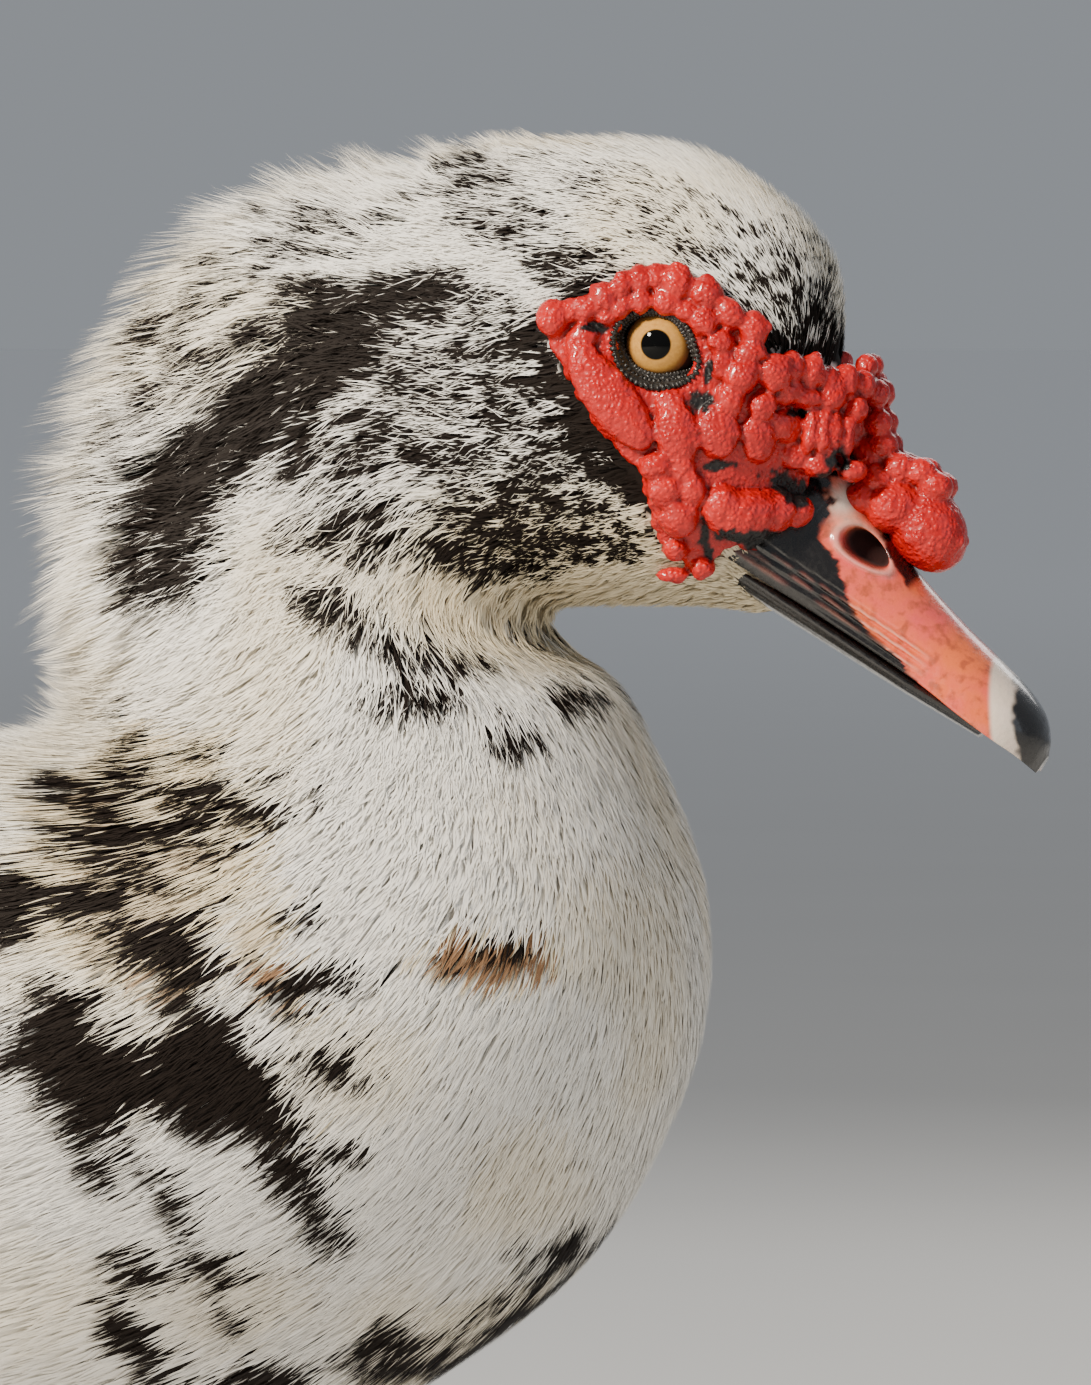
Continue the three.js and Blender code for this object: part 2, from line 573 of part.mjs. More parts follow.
// The wing's body is a blanket on the sheath, thick in the middle and thin all round.
function wingCore() {
  const [along, across] = [8, 5];
  const at = (i, j, lifted) => {
    const share = (i / along) * WING.coreEnd;
    const full = Math.sin((Math.PI * j) / across) ** 0.5 * Math.min(1, 5 * share + 0.1);
    const thick = 1 + (WING.thick - 1) * full * (1 - 0.7 * (i / along) ** 2);
    return sheath.point(...wingSpot(share, j / across), lifted ? thick : -WING.sunk);
  };
  const rings = [];
  for (let i = 0; i <= along; i++) {
    const ring = [];
    for (let j = 0; j <= across; j++) ring.push(at(i, j, true));
    for (let j = across; j >= 0; j--) ring.push(at(i, j, false));
    rings.push(ring);
  }
  return skinSolid(rings);
}

function wingTier({ count, from, to, tips, width, lift, step, stations }) {
  const mix = (pair, share) => pair[0].map((value, i) => THREE.MathUtils.lerp(value, pair[1][i], share));
  return Array.from({ length: count }, (_, i) => {
    const row = i / (count - 1);
    const [root, tip] = [mix([from, to], row), mix(tips, row)];
    const path = (share) => {
      const [t, phi] = wingSpot(...mix([root, tip], share));
      const rise = lift[0] + (lift[1] - lift[0] + step * i) * Math.min(1, share / WING.risen);
      return { at: sheath.point(t, phi, rise), up: sheath.normal(t, phi) };
    };
    return vane(path, width, stations, WING.roll);
  });
}

const leftWing = unionOf([wingCore(), ...WING_TIERS.flatMap(wingTier)]).subtract(grownTorso);

// Tail

const TAIL = {
  x: -186, z: 172, halfRoot: 15, length: 104, outer: 82, rise: 0.07, roll: -0.04, step: 0.65, stub: -204,
};
// Tiers of the tail from its lower coverts to its upper ones: how many, how long against the tail's
// own feathers, how far to the sides and how far above the tail's middle line. Each pair of feathers
// lies below the pair nearer to the middle, by the tail's step.
const TAIL_TIERS = [
  { tier: "lower coverts", count: 4, reach: 0.5, spread: 14, level: -5.4, width: 28, stations: 3 },
  { tier: "tail feathers", count: 12, reach: 1, spread: 21, level: 0, width: 24, stations: 4 },
  { tier: "upper coverts", count: 5, reach: 0.46, spread: 15, level: 5.2, width: 27, stations: 3 },
];

function tailTier({ count, reach, spread, level, width, stations }) {
  return Array.from({ length: count }, (_, i) => {
    const side = (i / (count - 1)) * 2 - 1;
    const angle = side * spread * DEGREE;
    const long = THREE.MathUtils.lerp(TAIL.length, TAIL.outer, side ** 2) * reach;
    const drop = (Math.abs(2 * i + 1 - count) + (side > 0 ? 1 : 0)) * TAIL.step;
    const path = (share) => {
      const out = share * long;
      const x = TAIL.x - Math.cos(angle) * out;
      const y = side * TAIL.halfRoot + Math.sin(angle) * out;
      const z = TAIL.z + level * (1 - 0.6 * share) + TAIL.rise * out - drop;
      return { at: new THREE.Vector3(x, y, z), up: new THREE.Vector3(0, 0, 1) };
    };
    return vane(path, width, stations, side * TAIL.roll);
  });
}

function tailStub() {
  const angles = Array.from({ length: 11 }, (_, j) => (j / 11) * 2 * Math.PI);
  const rings = [angles.map((phi) => trunk.point(TAIL_ROOT, phi).add(new THREE.Vector3(-GAP, 0, 0)))];
  for (const [x, half, high] of [[TAIL.x - 4, 24, 8.5], [TAIL.stub, 20, 4]])
    rings.push(angles.map((phi) =>
      new THREE.Vector3(x, Math.sin(phi) * half, TAIL.z + Math.cos(phi) * high)));
  return skinSolid(rings);
}
const tailSolid = unionOf([tailStub(), ...TAIL_TIERS.flatMap(tailTier)]);

// Legs, each built at its own foot and moved to its place

const LEG = {
  y: 50, stagger: 7, hock: [-10, 66], foot: [14, 9], thighTop: [8, 118],
  shank: [5.2, 4.2], thigh: [31, 11],
};
const TOES = [
  { at: "inner", angle: -31 * DEGREE, length: 52 },
  { at: "middle", angle: 0, length: 66 },
  { at: "outer", angle: 27 * DEGREE, length: 60 },
];
const SCUTES = { count: 6, from: 0.14, to: 0.86, wide: 5, high: 6.2, deep: 2, out: 0.5, tilt: 7 * DEGREE };
const HALLUX = { at: "hind", angle: 168 * DEGREE, length: 15, root: 3.6, tip: 2.6 };
const TOE = { root: 5, tip: 3.2, flat: 0.86 };
const KNUCKLE = { radius: 6.6, z: 7 };
// The web's free edge bows in between the toes, which it leaves at a share of their length.
const WEB = { z: 0.2, thick: 1.6, leaves: [0.94, 0.9, 0.94], bow: [[44, -13], [46, 12]] };
const CLAW = { sunk: 1, length: 9.5, radius: 2.6, high: 3.55, drop: 2.4, lift: 0.1 };
const footAt = new THREE.Vector3(LEG.foot[0], 0, 0);

// A round limb through points given as [x, y, z, radius], with flattened rings level with the ground.
function limb(points, segments, level) {
  const rings = points.map(([x, y, z, radius], i) => {
    const [before, after] = [points[Math.max(0, i - 1)], points[Math.min(points.length - 1, i + 1)]];
    const way = new THREE.Vector3(after[0] - before[0], after[1] - before[1], after[2] - before[2]);
    if (level) way.setZ(0);
    way.normalize();
    const side = new THREE.Vector3(0, 1, 0).addScaledVector(way, -way.y).normalize();
    const up = way.clone().cross(side);
    return Array.from({ length: segments }, (_, j) => {
      const angle = (j / segments) * 2 * Math.PI;
      return new THREE.Vector3(x, y, z)
        .addScaledVector(side, Math.cos(angle) * radius)
        .addScaledVector(up, Math.sin(angle) * radius);
    });
  });
  return skinSolid(rings);
}

function thigh() {
  const [tx, tz] = LEG.thighTop;
  const [hx, hz] = LEG.hock;
  const [wide, narrow] = LEG.thigh;
  const points = [];
  for (let i = 0; i <= 6; i++) {
    const share = i / 6;
    const radius = THREE.MathUtils.lerp(wide, narrow, share ** 0.8);
    points.push([THREE.MathUtils.lerp(tx, hx, share), 0, THREE.MathUtils.lerp(tz, hz + 8, share), radius]);
  }
  return limb(points, 16, false);
}

function toePoints(angle, length, rootRadius, tipRadius) {
  return [0, 0.35, 0.7, 1].map((share) => {
    const radius = THREE.MathUtils.lerp(rootRadius, tipRadius, share);
    return [
      footAt.x + Math.cos(angle) * length * share,
      Math.sin(angle) * length * share,
      radius * TOE.flat,
      radius,
    ];
  });
}

function foot(grow = 0) {
  const toe = ({ angle, length }) =>
    limb(toePoints(angle, length + grow, TOE.root + grow, TOE.tip + grow), 7, true);
  const toes = TOES.map(toe);
  const { angle: back, length: short, root, tip } = HALLUX;
  const hallux = limb(toePoints(back, short + grow, root + grow, tip + grow), 6, true);
  const ends = TOES.map(({ angle, length }, i) => {
    const out = length * WEB.leaves[i];
    return [footAt.x + Math.cos(angle) * out, Math.sin(angle) * out];
  });
  const web = new THREE.Shape().moveTo(footAt.x, 0).lineTo(...ends[0]);
  for (const [i, [x, y]] of WEB.bow.entries()) web.quadraticCurveTo(footAt.x + x, y, ...ends[i + 1]);
  const sheet = new THREE.ExtrudeGeometry(web, { depth: WEB.thick, bevelEnabled: false, curveSegments: 5 });
  const knuckle = ball(KNUCKLE.radius + grow, 1, new THREE.Vector3(footAt.x, 0, KNUCKLE.z));
  const all = [...toes, hallux, knuckle, solidOf(sheet.translate(0, 0, WEB.z))];
  return unionOf(all).trimByPlane([0, 0, 1], 0);
}

function shank(grow = 0) {
  const [hx, hz] = LEG.hock;
  const [fx, fz] = LEG.foot;
  const [wide, narrow] = LEG.shank;
  const points = [[hx - 1, 0, hz + 6.5, 4.5], [hx - 1.5, 0, hz + 2, 6.4], [hx + 1, 0, hz - 5, wide]];
  for (const share of [0.35, 0.65, 1]) {
    const radius = THREE.MathUtils.lerp(wide, narrow, share);
    points.push([THREE.MathUtils.lerp(hx, fx, share), 0, THREE.MathUtils.lerp(hz, fz, share), radius]);
  }
  for (const point of points) point[3] += grow;
  points[0][2] += grow;
  return limb(points, 12, false);
}

// Plates down the front of the shank, each standing out most at its lower edge.
function scutes() {
  const { count, from, to, wide, high, deep, out, tilt } = SCUTES;
  const [hx, hz] = LEG.hock;
  const [fx, fz] = LEG.foot;
  const slope = Math.atan2(fx - hx, hz - fz);
  return Array.from({ length: count }, (_, i) => {
    const share = THREE.MathUtils.lerp(from, to, i / (count - 1));
    const [x, z] = [THREE.MathUtils.lerp(hx, fx, share), THREE.MathUtils.lerp(hz, fz, share)];
    const front = THREE.MathUtils.lerp(...LEG.shank, share) + out - deep / 2;
    const plate = new THREE.BoxGeometry(deep, wide, high).rotateY(-tilt).translate(front, 0, 0);
    return solidOf(plate.rotateY(-slope).translate(x, 0, z));
  });
}

function claw(angle, length) {
  const rings = [0, 0.55, 1].map((share) => {
    const along = length - CLAW.sunk + CLAW.length * share;
    const z = CLAW.high - CLAW.drop * share ** 2;
    const radius = CLAW.radius * (1 - 0.88 * share);
    return [footAt.x + Math.cos(angle) * along, Math.sin(angle) * along, z, radius];
  });
  return limb(rings, 6, true).trimByPlane([0, 0, 1], CLAW.lift);
}

// The model

const duck = new THREE.Group();

function add(name, solid, material, parent = duck) {
  const mesh = new THREE.Mesh(geometryOf(largest(solid)), MATERIALS[material]);
  mesh.name = name;
  parent.add(mesh);
}

const addPair = (name, left, material) => {
  add(`${name}_left`, left, material);
  add(`${name}_right`, mirrored(left), material);
};

const sockets = unionOf([socket, mirrored(socket)]);
add("head", unionOf([headCore, ...locks(CROWN_ROWS, 3)]).subtract(sockets), "plumage");
add("neck", unionOf([neckCore, ...locks(NAPE_ROWS, 5)]), "plumage");
add("torso", torsoCore, "plumage");
const nostrils = unionOf([nostril(), mirrored(nostril())]);
add("bill_upper", upperBill().subtract(grownHead).subtract(nostrils), "bill");
add("bill_lower", lowerBill().subtract(grownHead), "dark_bill");
add("bill_knob", knobSkin, "caruncle");
addPair("caruncles", maskSkin.trimByPlane([0, 1, 0], GAP / 2), "caruncle");
addPair("eye", eyeBall(EYE.radius), "eye");
addPair("lids", leftLids, "lid");
addPair("wing", leftWing, "dark_plumage");
add("tail", tailSolid, "dark_plumage");

for (const [side, sign] of [["left", 1], ["right", -1]]) {
  const leg = new THREE.Group();
  const at = [-sign * LEG.stagger, sign * LEG.y, 0];
  leg.position.set(...at);
  duck.add(leg);
  const turned = (solid) => (sign > 0 ? solid : mirrored(solid));
  const clearTorso = grownTorso.translate(at.map((value) => -value));
  add(`thigh_${side}`, thigh().subtract(clearTorso).subtract(shank(GAP)), "plumage", leg);
  add(`shank_${side}`, unionOf([shank(), ...scutes()]).subtract(foot(GAP)), "leg", leg);
  add(`foot_${side}`, turned(foot()), "leg", leg);
  for (const { at: toe, angle, length } of [...TOES, HALLUX])
    add(`claw_${toe}_${side}`, turned(claw(angle, length).subtract(foot(GAP))), "claw", leg);
}

// The origin is under the middle of the bird's length.
const box = new THREE.Box3().setFromObject(duck);
duck.position.x = -(box.min.x + box.max.x) / 2;

export default duck;
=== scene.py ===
"""Muscovy duck, life size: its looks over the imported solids.

Lengths are in millimetres and in the duck's own frame, x forward, y to its left and z up. Every mesh
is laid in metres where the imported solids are.
"""

from __future__ import annotations

import logging
import math
from dataclasses import dataclass, field, replace
from enum import Enum, IntEnum
from typing import Callable, Iterator

import bpy
import numpy as np
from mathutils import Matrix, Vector

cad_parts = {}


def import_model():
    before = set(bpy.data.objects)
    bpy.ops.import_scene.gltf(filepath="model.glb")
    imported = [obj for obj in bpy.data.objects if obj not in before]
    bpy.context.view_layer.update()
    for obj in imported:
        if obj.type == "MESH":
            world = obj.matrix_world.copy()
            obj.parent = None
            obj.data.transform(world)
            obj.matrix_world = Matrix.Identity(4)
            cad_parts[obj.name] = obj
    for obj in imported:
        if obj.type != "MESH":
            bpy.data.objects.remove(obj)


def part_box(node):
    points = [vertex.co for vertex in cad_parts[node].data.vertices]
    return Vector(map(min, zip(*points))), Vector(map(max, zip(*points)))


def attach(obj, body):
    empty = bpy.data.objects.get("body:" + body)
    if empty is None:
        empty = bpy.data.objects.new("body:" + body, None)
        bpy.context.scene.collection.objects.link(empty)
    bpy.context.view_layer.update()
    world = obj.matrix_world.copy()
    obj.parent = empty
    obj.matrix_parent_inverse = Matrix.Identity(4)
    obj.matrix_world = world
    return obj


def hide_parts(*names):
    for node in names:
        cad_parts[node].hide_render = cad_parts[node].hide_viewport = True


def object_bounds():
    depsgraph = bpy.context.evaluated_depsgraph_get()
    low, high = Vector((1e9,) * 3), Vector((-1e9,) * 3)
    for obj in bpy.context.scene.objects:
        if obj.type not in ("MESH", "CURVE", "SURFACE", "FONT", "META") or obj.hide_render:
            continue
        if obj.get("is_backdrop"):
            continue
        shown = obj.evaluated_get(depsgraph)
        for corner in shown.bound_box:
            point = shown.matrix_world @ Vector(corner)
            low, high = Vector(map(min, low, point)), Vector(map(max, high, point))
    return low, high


log = logging.getLogger("duck")
Array = np.ndarray
Pair = tuple[Array, Array]
MM = 0.001
FULL_TURN = 2 * math.pi
AHEAD, LEFT, UP = np.eye(3)
SIDES = (("left", 1), ("right", -1))


# Numbers and curves


def spline(rows: Array, share: Array) -> Array:
    """Reads a smooth curve through rows of values.

    Args:
        rows: The values at each stop, one row a stop.
        share: Where to read, from 0 at the first stop to 1 at the last.

    Returns:
        One row of values for each share.
    """
    last = len(rows) - 1
    padded = np.vstack([2 * rows[0] - rows[1], rows, 2 * rows[-1] - rows[-2]])
    place = np.asarray(share, float) * last
    stop = np.clip(place.astype(int), 0, last - 1)
    step = (place - stop)[:, None]
    before, start, end, after = (padded[stop + k] for k in range(4))
    leave, arrive = (end - before) / 2, (after - start) / 2
    square, cube = step**2, step**3
    return (
        (2 * cube - 3 * square + 1) * start
        + (cube - 2 * square + step) * leave
        + (3 * square - 2 * cube) * end
        + (cube - square) * arrive
    )


def smooth_step(low: float, high: float, value: Array) -> Array:
    """Rises smoothly from 0 at low to 1 at high."""
    share = np.clip((value - low) / (high - low), 0, 1)
    return share * share * (3 - 2 * share)


def unit(vectors: Array) -> Array:
    """Vectors of length 1 in the same directions."""
    return vectors / np.maximum(np.linalg.norm(vectors, axis=-1, keepdims=True), 1e-9)


def lattice(cells: Array, seed: int) -> Array:
    """A number from 0 to 1 for each whole-numbered cell."""
    mixed = cells[..., 0] * 374761393 + cells[..., 1] * 668265263 + cells[..., 2] * 974634777
    mixed = (mixed + seed * 144665167) & 0xFFFFFFFF
    mixed = ((mixed ^ (mixed >> 13)) * 1274126177) & 0xFFFFFFFF
    return ((mixed ^ (mixed >> 16)) & 0xFFFF) / 65535.0


class Field(IntEnum):
    """The random fields that noise is read from."""

    EDGE = 3
    FLANK = 5
    THIGH = 6
    SADDLE = 8
    CLOUD = 9
    STREAK = 21
    FINE_STREAK = 22
    CLUSTER = 24
    PAD = 31
    BILL = 41
    FINE_BILL = 42
    PEBBLE = 51
    FINE_PEBBLE = 52
    BLACK = 53
    FINE_BLACK = 54


def noise(points: Array, size: float | tuple[float, float, float], seed: int) -> Array:
    """Soft random values in space.

    Args:
        points: Where to read, as rows of three numbers.
        size: The size of a cell, one number or one for each direction.
        seed: Which random field.

    Returns:
        A value from 0 to 1 for each point.
    """
    place = points / np.asarray(size, float)
    cell = np.floor(place).astype(np.int64)
    part = place - cell
    part = part * part * (3 - 2 * part)
    total = np.zeros(len(points))
    for corner in range(8):
        offset = np.array([corner & 1, corner >> 1 & 1, corner >> 2])
        weight = np.prod(np.where(offset, part, 1 - part), axis=1)
        total += weight * lattice(cell + offset, seed)
    return total


def even_pairs(count: int, seed: float = 0.5) -> Pair:
    """Pairs of numbers from 0 to 1 that fill the square evenly."""
    index = np.arange(1, count + 1)
    return (seed + index * 0.7548776662466927) % 1, (seed + index * 0.5698402909980532) % 1


def crossed(first: Array, second: Array) -> Pair:
    """Every pair of a first and a second value, as two long rows."""
    return tuple(values.ravel() for values in np.meshgrid(first, second, indexing="ij"))


def all_round(count: int) -> Array:
    """Even angles all the way round."""
    return np.linspace(0, FULL_TURN, count, endpoint=False)


def inside(x: Array, z: Array, outline: Array) -> Array:
    """Tells which points lie within a closed outline in the side view."""
    found = np.zeros(len(x), bool)
    for (ax, az), (bx, bz) in zip(outline, np.roll(outline, -1, axis=0)):
        crosses = (az > z) != (bz > z)
        with np.errstate(divide="ignore", invalid="ignore"):
            found ^= crosses & (x < (bx - ax) * (z - az) / (bz - az) + ax)
    return found


# The duck's own sizes, as in the solids

ROUNDNESS = 2.15
TRUNK = np.array(
    [  # back x, z; front x, z; half width and where the widest line is between front and back
        [253, 304, 240, 257, 11, 0.45],  # bill base
        [249, 327, 226, 258.5, 23, 0.45],  # forehead
        [222, 345, 210, 258.5, 29, 0.42],  # crown
        [178, 342.5, 200, 258, 32, 0.42],  # hindcrown
        [137, 327, 198, 255.6, 35, 0.45],  # nape
        [117, 280, 198.6, 252.3, 39, 0.5],  # hindneck
        [110.5, 241, 213, 240, 46, 0.52],  # neck root
        [84, 234, 226.5, 203, 64, 0.52],  # shoulder
        [40, 235.5, 221, 166, 80, 0.5],  # breast
        [-5, 232, 193, 127, 90, 0.5],  # keel
        [-50, 223.5, 125, 92, 93, 0.5],  # flank
        [-90, 212, 20, 76.5, 87, 0.52],  # belly
        [-125, 200.5, -75, 94, 69, 0.55],  # hip
        [-155, 190.5, -135, 133, 46, 0.55],  # vent
        [-182, 182, -180, 160, 25, 0.5],  # tail root
    ]
)
SHEATH = np.vstack(
    [
        TRUNK[:11],
        [-92, 214, 10, 84, 88, 0.52],
        [-134, 207, -80, 110, 72, 0.55],
        [-180, 201, -152, 150, 50, 0.55],
        [-238, 197, -234, 168, 26, 0.5],
    ]
)
HEAD_END = 3.6
TAIL_ROOT = 14.0
EYE_AT = np.array([222.5, 20.6, 308.0])
EYE_RADIUS = 7.4
MASK_OUTLINE = np.array(
    [
        [202, 311.5], [207, 315], [215, 318.5], [224, 320], [232, 318], [238, 312.5], [241, 306.5],
        [250, 303], [258, 299.5], [261, 290], [258, 283], [252, 278.5], [250, 274], [241, 269.5],
        [233, 269], [228, 265.5], [223.5, 268], [221.5, 276], [218.5, 286], [213, 291.5],
        [207, 301.5],
    ]
)  # fmt: skip


def between(stops: list[tuple[float, float]], share: Array) -> Array:
    """The value at a share along a row of (share, value) stops."""
    return np.interp(share, [s for s, _ in stops], [v for _, v in stops])


def fuller(value: Array) -> Array:
    """Makes the round of a ring a little squarer."""
    return np.sign(value) * np.abs(value) ** (2 / ROUNDNESS)


def turned_from_back(phi: Array) -> Array:
    """The angle from the back line, the same on both sides."""
    return np.abs((phi + math.pi) % FULL_TURN - math.pi)


class RingBody:
    """A body of oval rings, read by station and by angle from its back line down its left side."""

    def __init__(self, rows: Array) -> None:
        """Keeps the rings' rows."""
        self.rows = rows
        self.last = len(rows) - 1

    def bare(self, t: Array, phi: Array) -> Array:
        """The surface itself, as rows of x, y, z."""
        row = spline(self.rows, t / self.last)
        up = np.cos(phi)
        widest = row[:, 5]
        share = widest + fuller(up) * np.where(up > 0, 1 - widest, widest)
        x = row[:, 2] + (row[:, 0] - row[:, 2]) * share
        z = row[:, 3] + (row[:, 1] - row[:, 3]) * share
        return np.stack([x, fuller(np.sin(phi)) * row[:, 4], z], axis=1)

    def tangents(self, t: Array, phi: Array) -> Pair:
        """How the surface runs for one station along and for one radian round."""
        step = 0.02
        along = (self.bare(t + step, phi) - self.bare(t, phi)) / step
        round_ = (self.bare(t, phi + step) - self.bare(t, phi - step)) / (2 * step)
        return along, round_

    def normal(self, t: Array, phi: Array) -> Array:
        """The way out from the surface."""
        along, round_ = self.tangents(t, phi)
        return unit(np.cross(round_, along))

    def point(self, t: Array, phi: Array, grow: Array | float = 0.0) -> Array:
        """The surface moved out by grow."""
        t, phi = np.broadcast_arrays(np.asarray(t, float), np.asarray(phi, float))
        grow = np.broadcast_to(np.asarray(grow, float), t.shape)
        return self.bare(t, phi) + self.normal(t, phi) * grow[:, None]

    def locate(self, x: Array, z: Array, high: float) -> Pair:
        """Finds where the left side shows at x, z in the side view.

        Args:
            x: Forward places.
            z: Heights.
            high: The last station that may hold them.

        Returns:
            The stations and the angles.
        """
        x, z = np.atleast_1d(np.asarray(x, float)), np.atleast_1d(np.asarray(z, float))
        low, top = np.zeros(len(x)), np.full(len(x), high)
        for _ in range(30):
            t = (low + top) / 2
            row = spline(self.rows, t / self.last)
            axis = row[:, 0:2] - row[:, 2:4]
            behind = axis[:, 0] * (z - row[:, 3]) - axis[:, 1] * (x - row[:, 2]) > 0
            low, top = np.where(behind, t, low), np.where(behind, top, t)
        length = np.linalg.norm(axis, axis=1)
        share = ((x - row[:, 2]) * axis[:, 0] + (z - row[:, 3]) * axis[:, 1]) / length**2
        above = share > row[:, 5]
        full = np.abs(share - row[:, 5]) / np.where(above, 1 - row[:, 5], row[:, 5])
        up = np.clip(full, 0, 1) ** (ROUNDNESS / 2) * np.where(above, 1, -1)
        return t, np.arccos(up)


trunk = RingBody(TRUNK)
sheath = RingBody(SHEATH)


# Forms and how they are laid in the scene


@dataclass
class Form:
    """Points, faces and masks of a mesh, before it is laid in the scene."""

    points: Array
    faces: list[Array]
    masks: dict[str, Array] = field(default_factory=dict)
    patches: Array | None = None
    shading: Array | None = None

    def normals(self) -> Array:
        """The way out at each point."""
        total = np.zeros_like(self.points)
        for rows in self.faces:
            corner = self.points[rows]
            way = np.cross(corner[:, 1] - corner[:, 0], corner[:, -1] - corner[:, 0])
            for k in range(rows.shape[1]):
                for axis in range(3):
                    total[:, axis] += np.bincount(rows[:, k], way[:, axis], len(total))
        return unit(total)

    def mirrored(self) -> Form:
        """The same form on the other side of the duck."""
        faces = [rows[:, ::-1] for rows in self.faces]
        shading = None if self.shading is None else self.shading * [1, -1, 1]
        return Form(self.points * [1, -1, 1], faces, dict(self.masks), self.patches, shading)

    def on_side(self, sign: int) -> Form:
        """The form itself for the left side, or its mirror image for the right."""
        return self if sign > 0 else self.mirrored()


def joined(forms: list[Form]) -> Form:
    """Joins forms that carry the same masks into one."""
    starts = np.cumsum([0] + [len(form.points) for form in forms])
    faces: dict[int, list[Array]] = {}
    for start, form in zip(starts, forms):
        for rows in form.faces:
            faces.setdefault(rows.shape[1], []).append(rows + start)
    masks = {name: np.concatenate([form.masks[name] for form in forms]) for name in forms[0].masks}
    patches = None
    if forms[0].patches is not None:
        patches = np.concatenate([form.patches for form in forms])
    stacked = [np.concatenate(rows) for rows in faces.values()]
    return Form(np.concatenate([form.points for form in forms]), stacked, masks, patches)


def grid(points: Array, closed: bool = False, hollow: bool = False) -> Form:
    """A surface over rings of points.

    Args:
        points: The rings, as an array of ring by point by three.
        closed: Whether each ring runs back to its first point and a fan closes each end.
        hollow: Whether the ends stay open all the same.

    Returns:
        The form, whose points come ring by ring.
    """
    rings, count = points.shape[:2]
    index = np.arange(rings * count).reshape(rings, count)
    right = np.roll(index, -1, axis=1) if closed else index[:, 1:]
    left = index if closed else index[:, :-1]
    quads = np.stack([left[:-1], left[1:], right[1:], right[:-1]], axis=-1).reshape(-1, 4)
    flat = points.reshape(-1, 3)
    faces = [quads]
    for ring, step in ((0, 1), (rings - 1, -1)) if closed and not hollow else ():
        flat = np.vstack([flat, points[ring].mean(axis=0)])
        hub = np.full(count, len(flat) - 1)
        rim = [index[ring], np.roll(index[ring], -1)][::step]
        faces.append(np.stack([hub, *rim], axis=1))
    return Form(flat, faces)


def mesh_of(name: str, form: Form, scale: float, shift: Array) -> bpy.types.Mesh:
    """Makes a mesh of a form, with its masks as attributes and its patches as a map."""
    mesh = bpy.data.meshes.new(name)
    loops = np.concatenate([rows.ravel() for rows in form.faces]).astype(np.int32)
    sizes = np.concatenate([np.full(len(rows), rows.shape[1]) for rows in form.faces])
    starts = np.concatenate([[0], np.cumsum(sizes)[:-1]]).astype(np.int32)
    mesh.vertices.add(len(form.points))
    mesh.vertices.foreach_set("co", ((form.points + shift) * scale).astype(np.float32).ravel())
    mesh.loops.add(len(loops))
    mesh.loops.foreach_set("vertex_index", loops)
    mesh.polygons.add(len(sizes))
    mesh.polygons.foreach_set("loop_start", starts)
    mesh.update(calc_edges=True)
    for mask, values in form.masks.items():
        attribute = mesh.attributes.new(mask, "FLOAT", "POINT")
        attribute.data.foreach_set("value", np.asarray(values, np.float32))
    if form.patches is not None:
        layer = mesh.uv_layers.new(name="OFBake")
        layer.data.foreach_set("uv", form.patches[loops].astype(np.float32).ravel())
    if form.shading is not None:
        mesh.normals_split_custom_set_from_vertices(form.shading.astype(np.float32))
    return mesh


def linked(name: str, data: bpy.types.ID) -> bpy.types.Object:
    """An object that holds the data, placed in the scene."""
    thing = bpy.data.objects.new(name, data)
    bpy.context.scene.collection.objects.link(thing)
    return thing


def fused(form: Form, voxel: float, smoothing: int) -> Form:
    """Melts overlapping closed forms into one skin.

    Args:
        form: The overlapping forms, joined.
        voxel: How fine the new skin is, in millimetres.
        smoothing: How many times it is smoothed.

    Returns:
        The new skin, without masks.
    """
    thing = linked("fusing", mesh_of("fusing", form, 1.0, np.zeros(3)))
    melt = thing.modifiers.new("melt", "REMESH")
    melt.mode = "VOXEL"
    melt.voxel_size = voxel
    relax = thing.modifiers.new("relax", "SMOOTH")
    relax.iterations = smoothing
    relax.factor = 0.5
    solid = thing.evaluated_get(bpy.context.evaluated_depsgraph_get()).to_mesh()
    points = np.empty(len(solid.vertices) * 3)
    solid.vertices.foreach_get("co", points)
    starts = np.empty(len(solid.polygons), int)
    sizes = np.empty(len(solid.polygons), int)
    loops = np.empty(len(solid.loops), int)
    solid.polygons.foreach_get("loop_start", starts)
    solid.polygons.foreach_get("loop_total", sizes)
    solid.loops.foreach_get("vertex_index", loops)
    faces = [
        loops[starts[sizes == count][:, None] + np.arange(count)]
        for count in (3, 4)
        if (sizes == count).any()
    ]
    bpy.data.objects.remove(thing)
    return Form(points.reshape(-1, 3), faces)


class Slot(Enum):
    """The record's material slots."""

    BODY = "body_feathers"
    FLIGHT = "flight_feathers"
    CARUNCLE = "caruncle"
    BILL = "bill"
    EYE = "eye"
    LID = "lid"
    LEG = "leg_skin"
    CLAW = "claw"


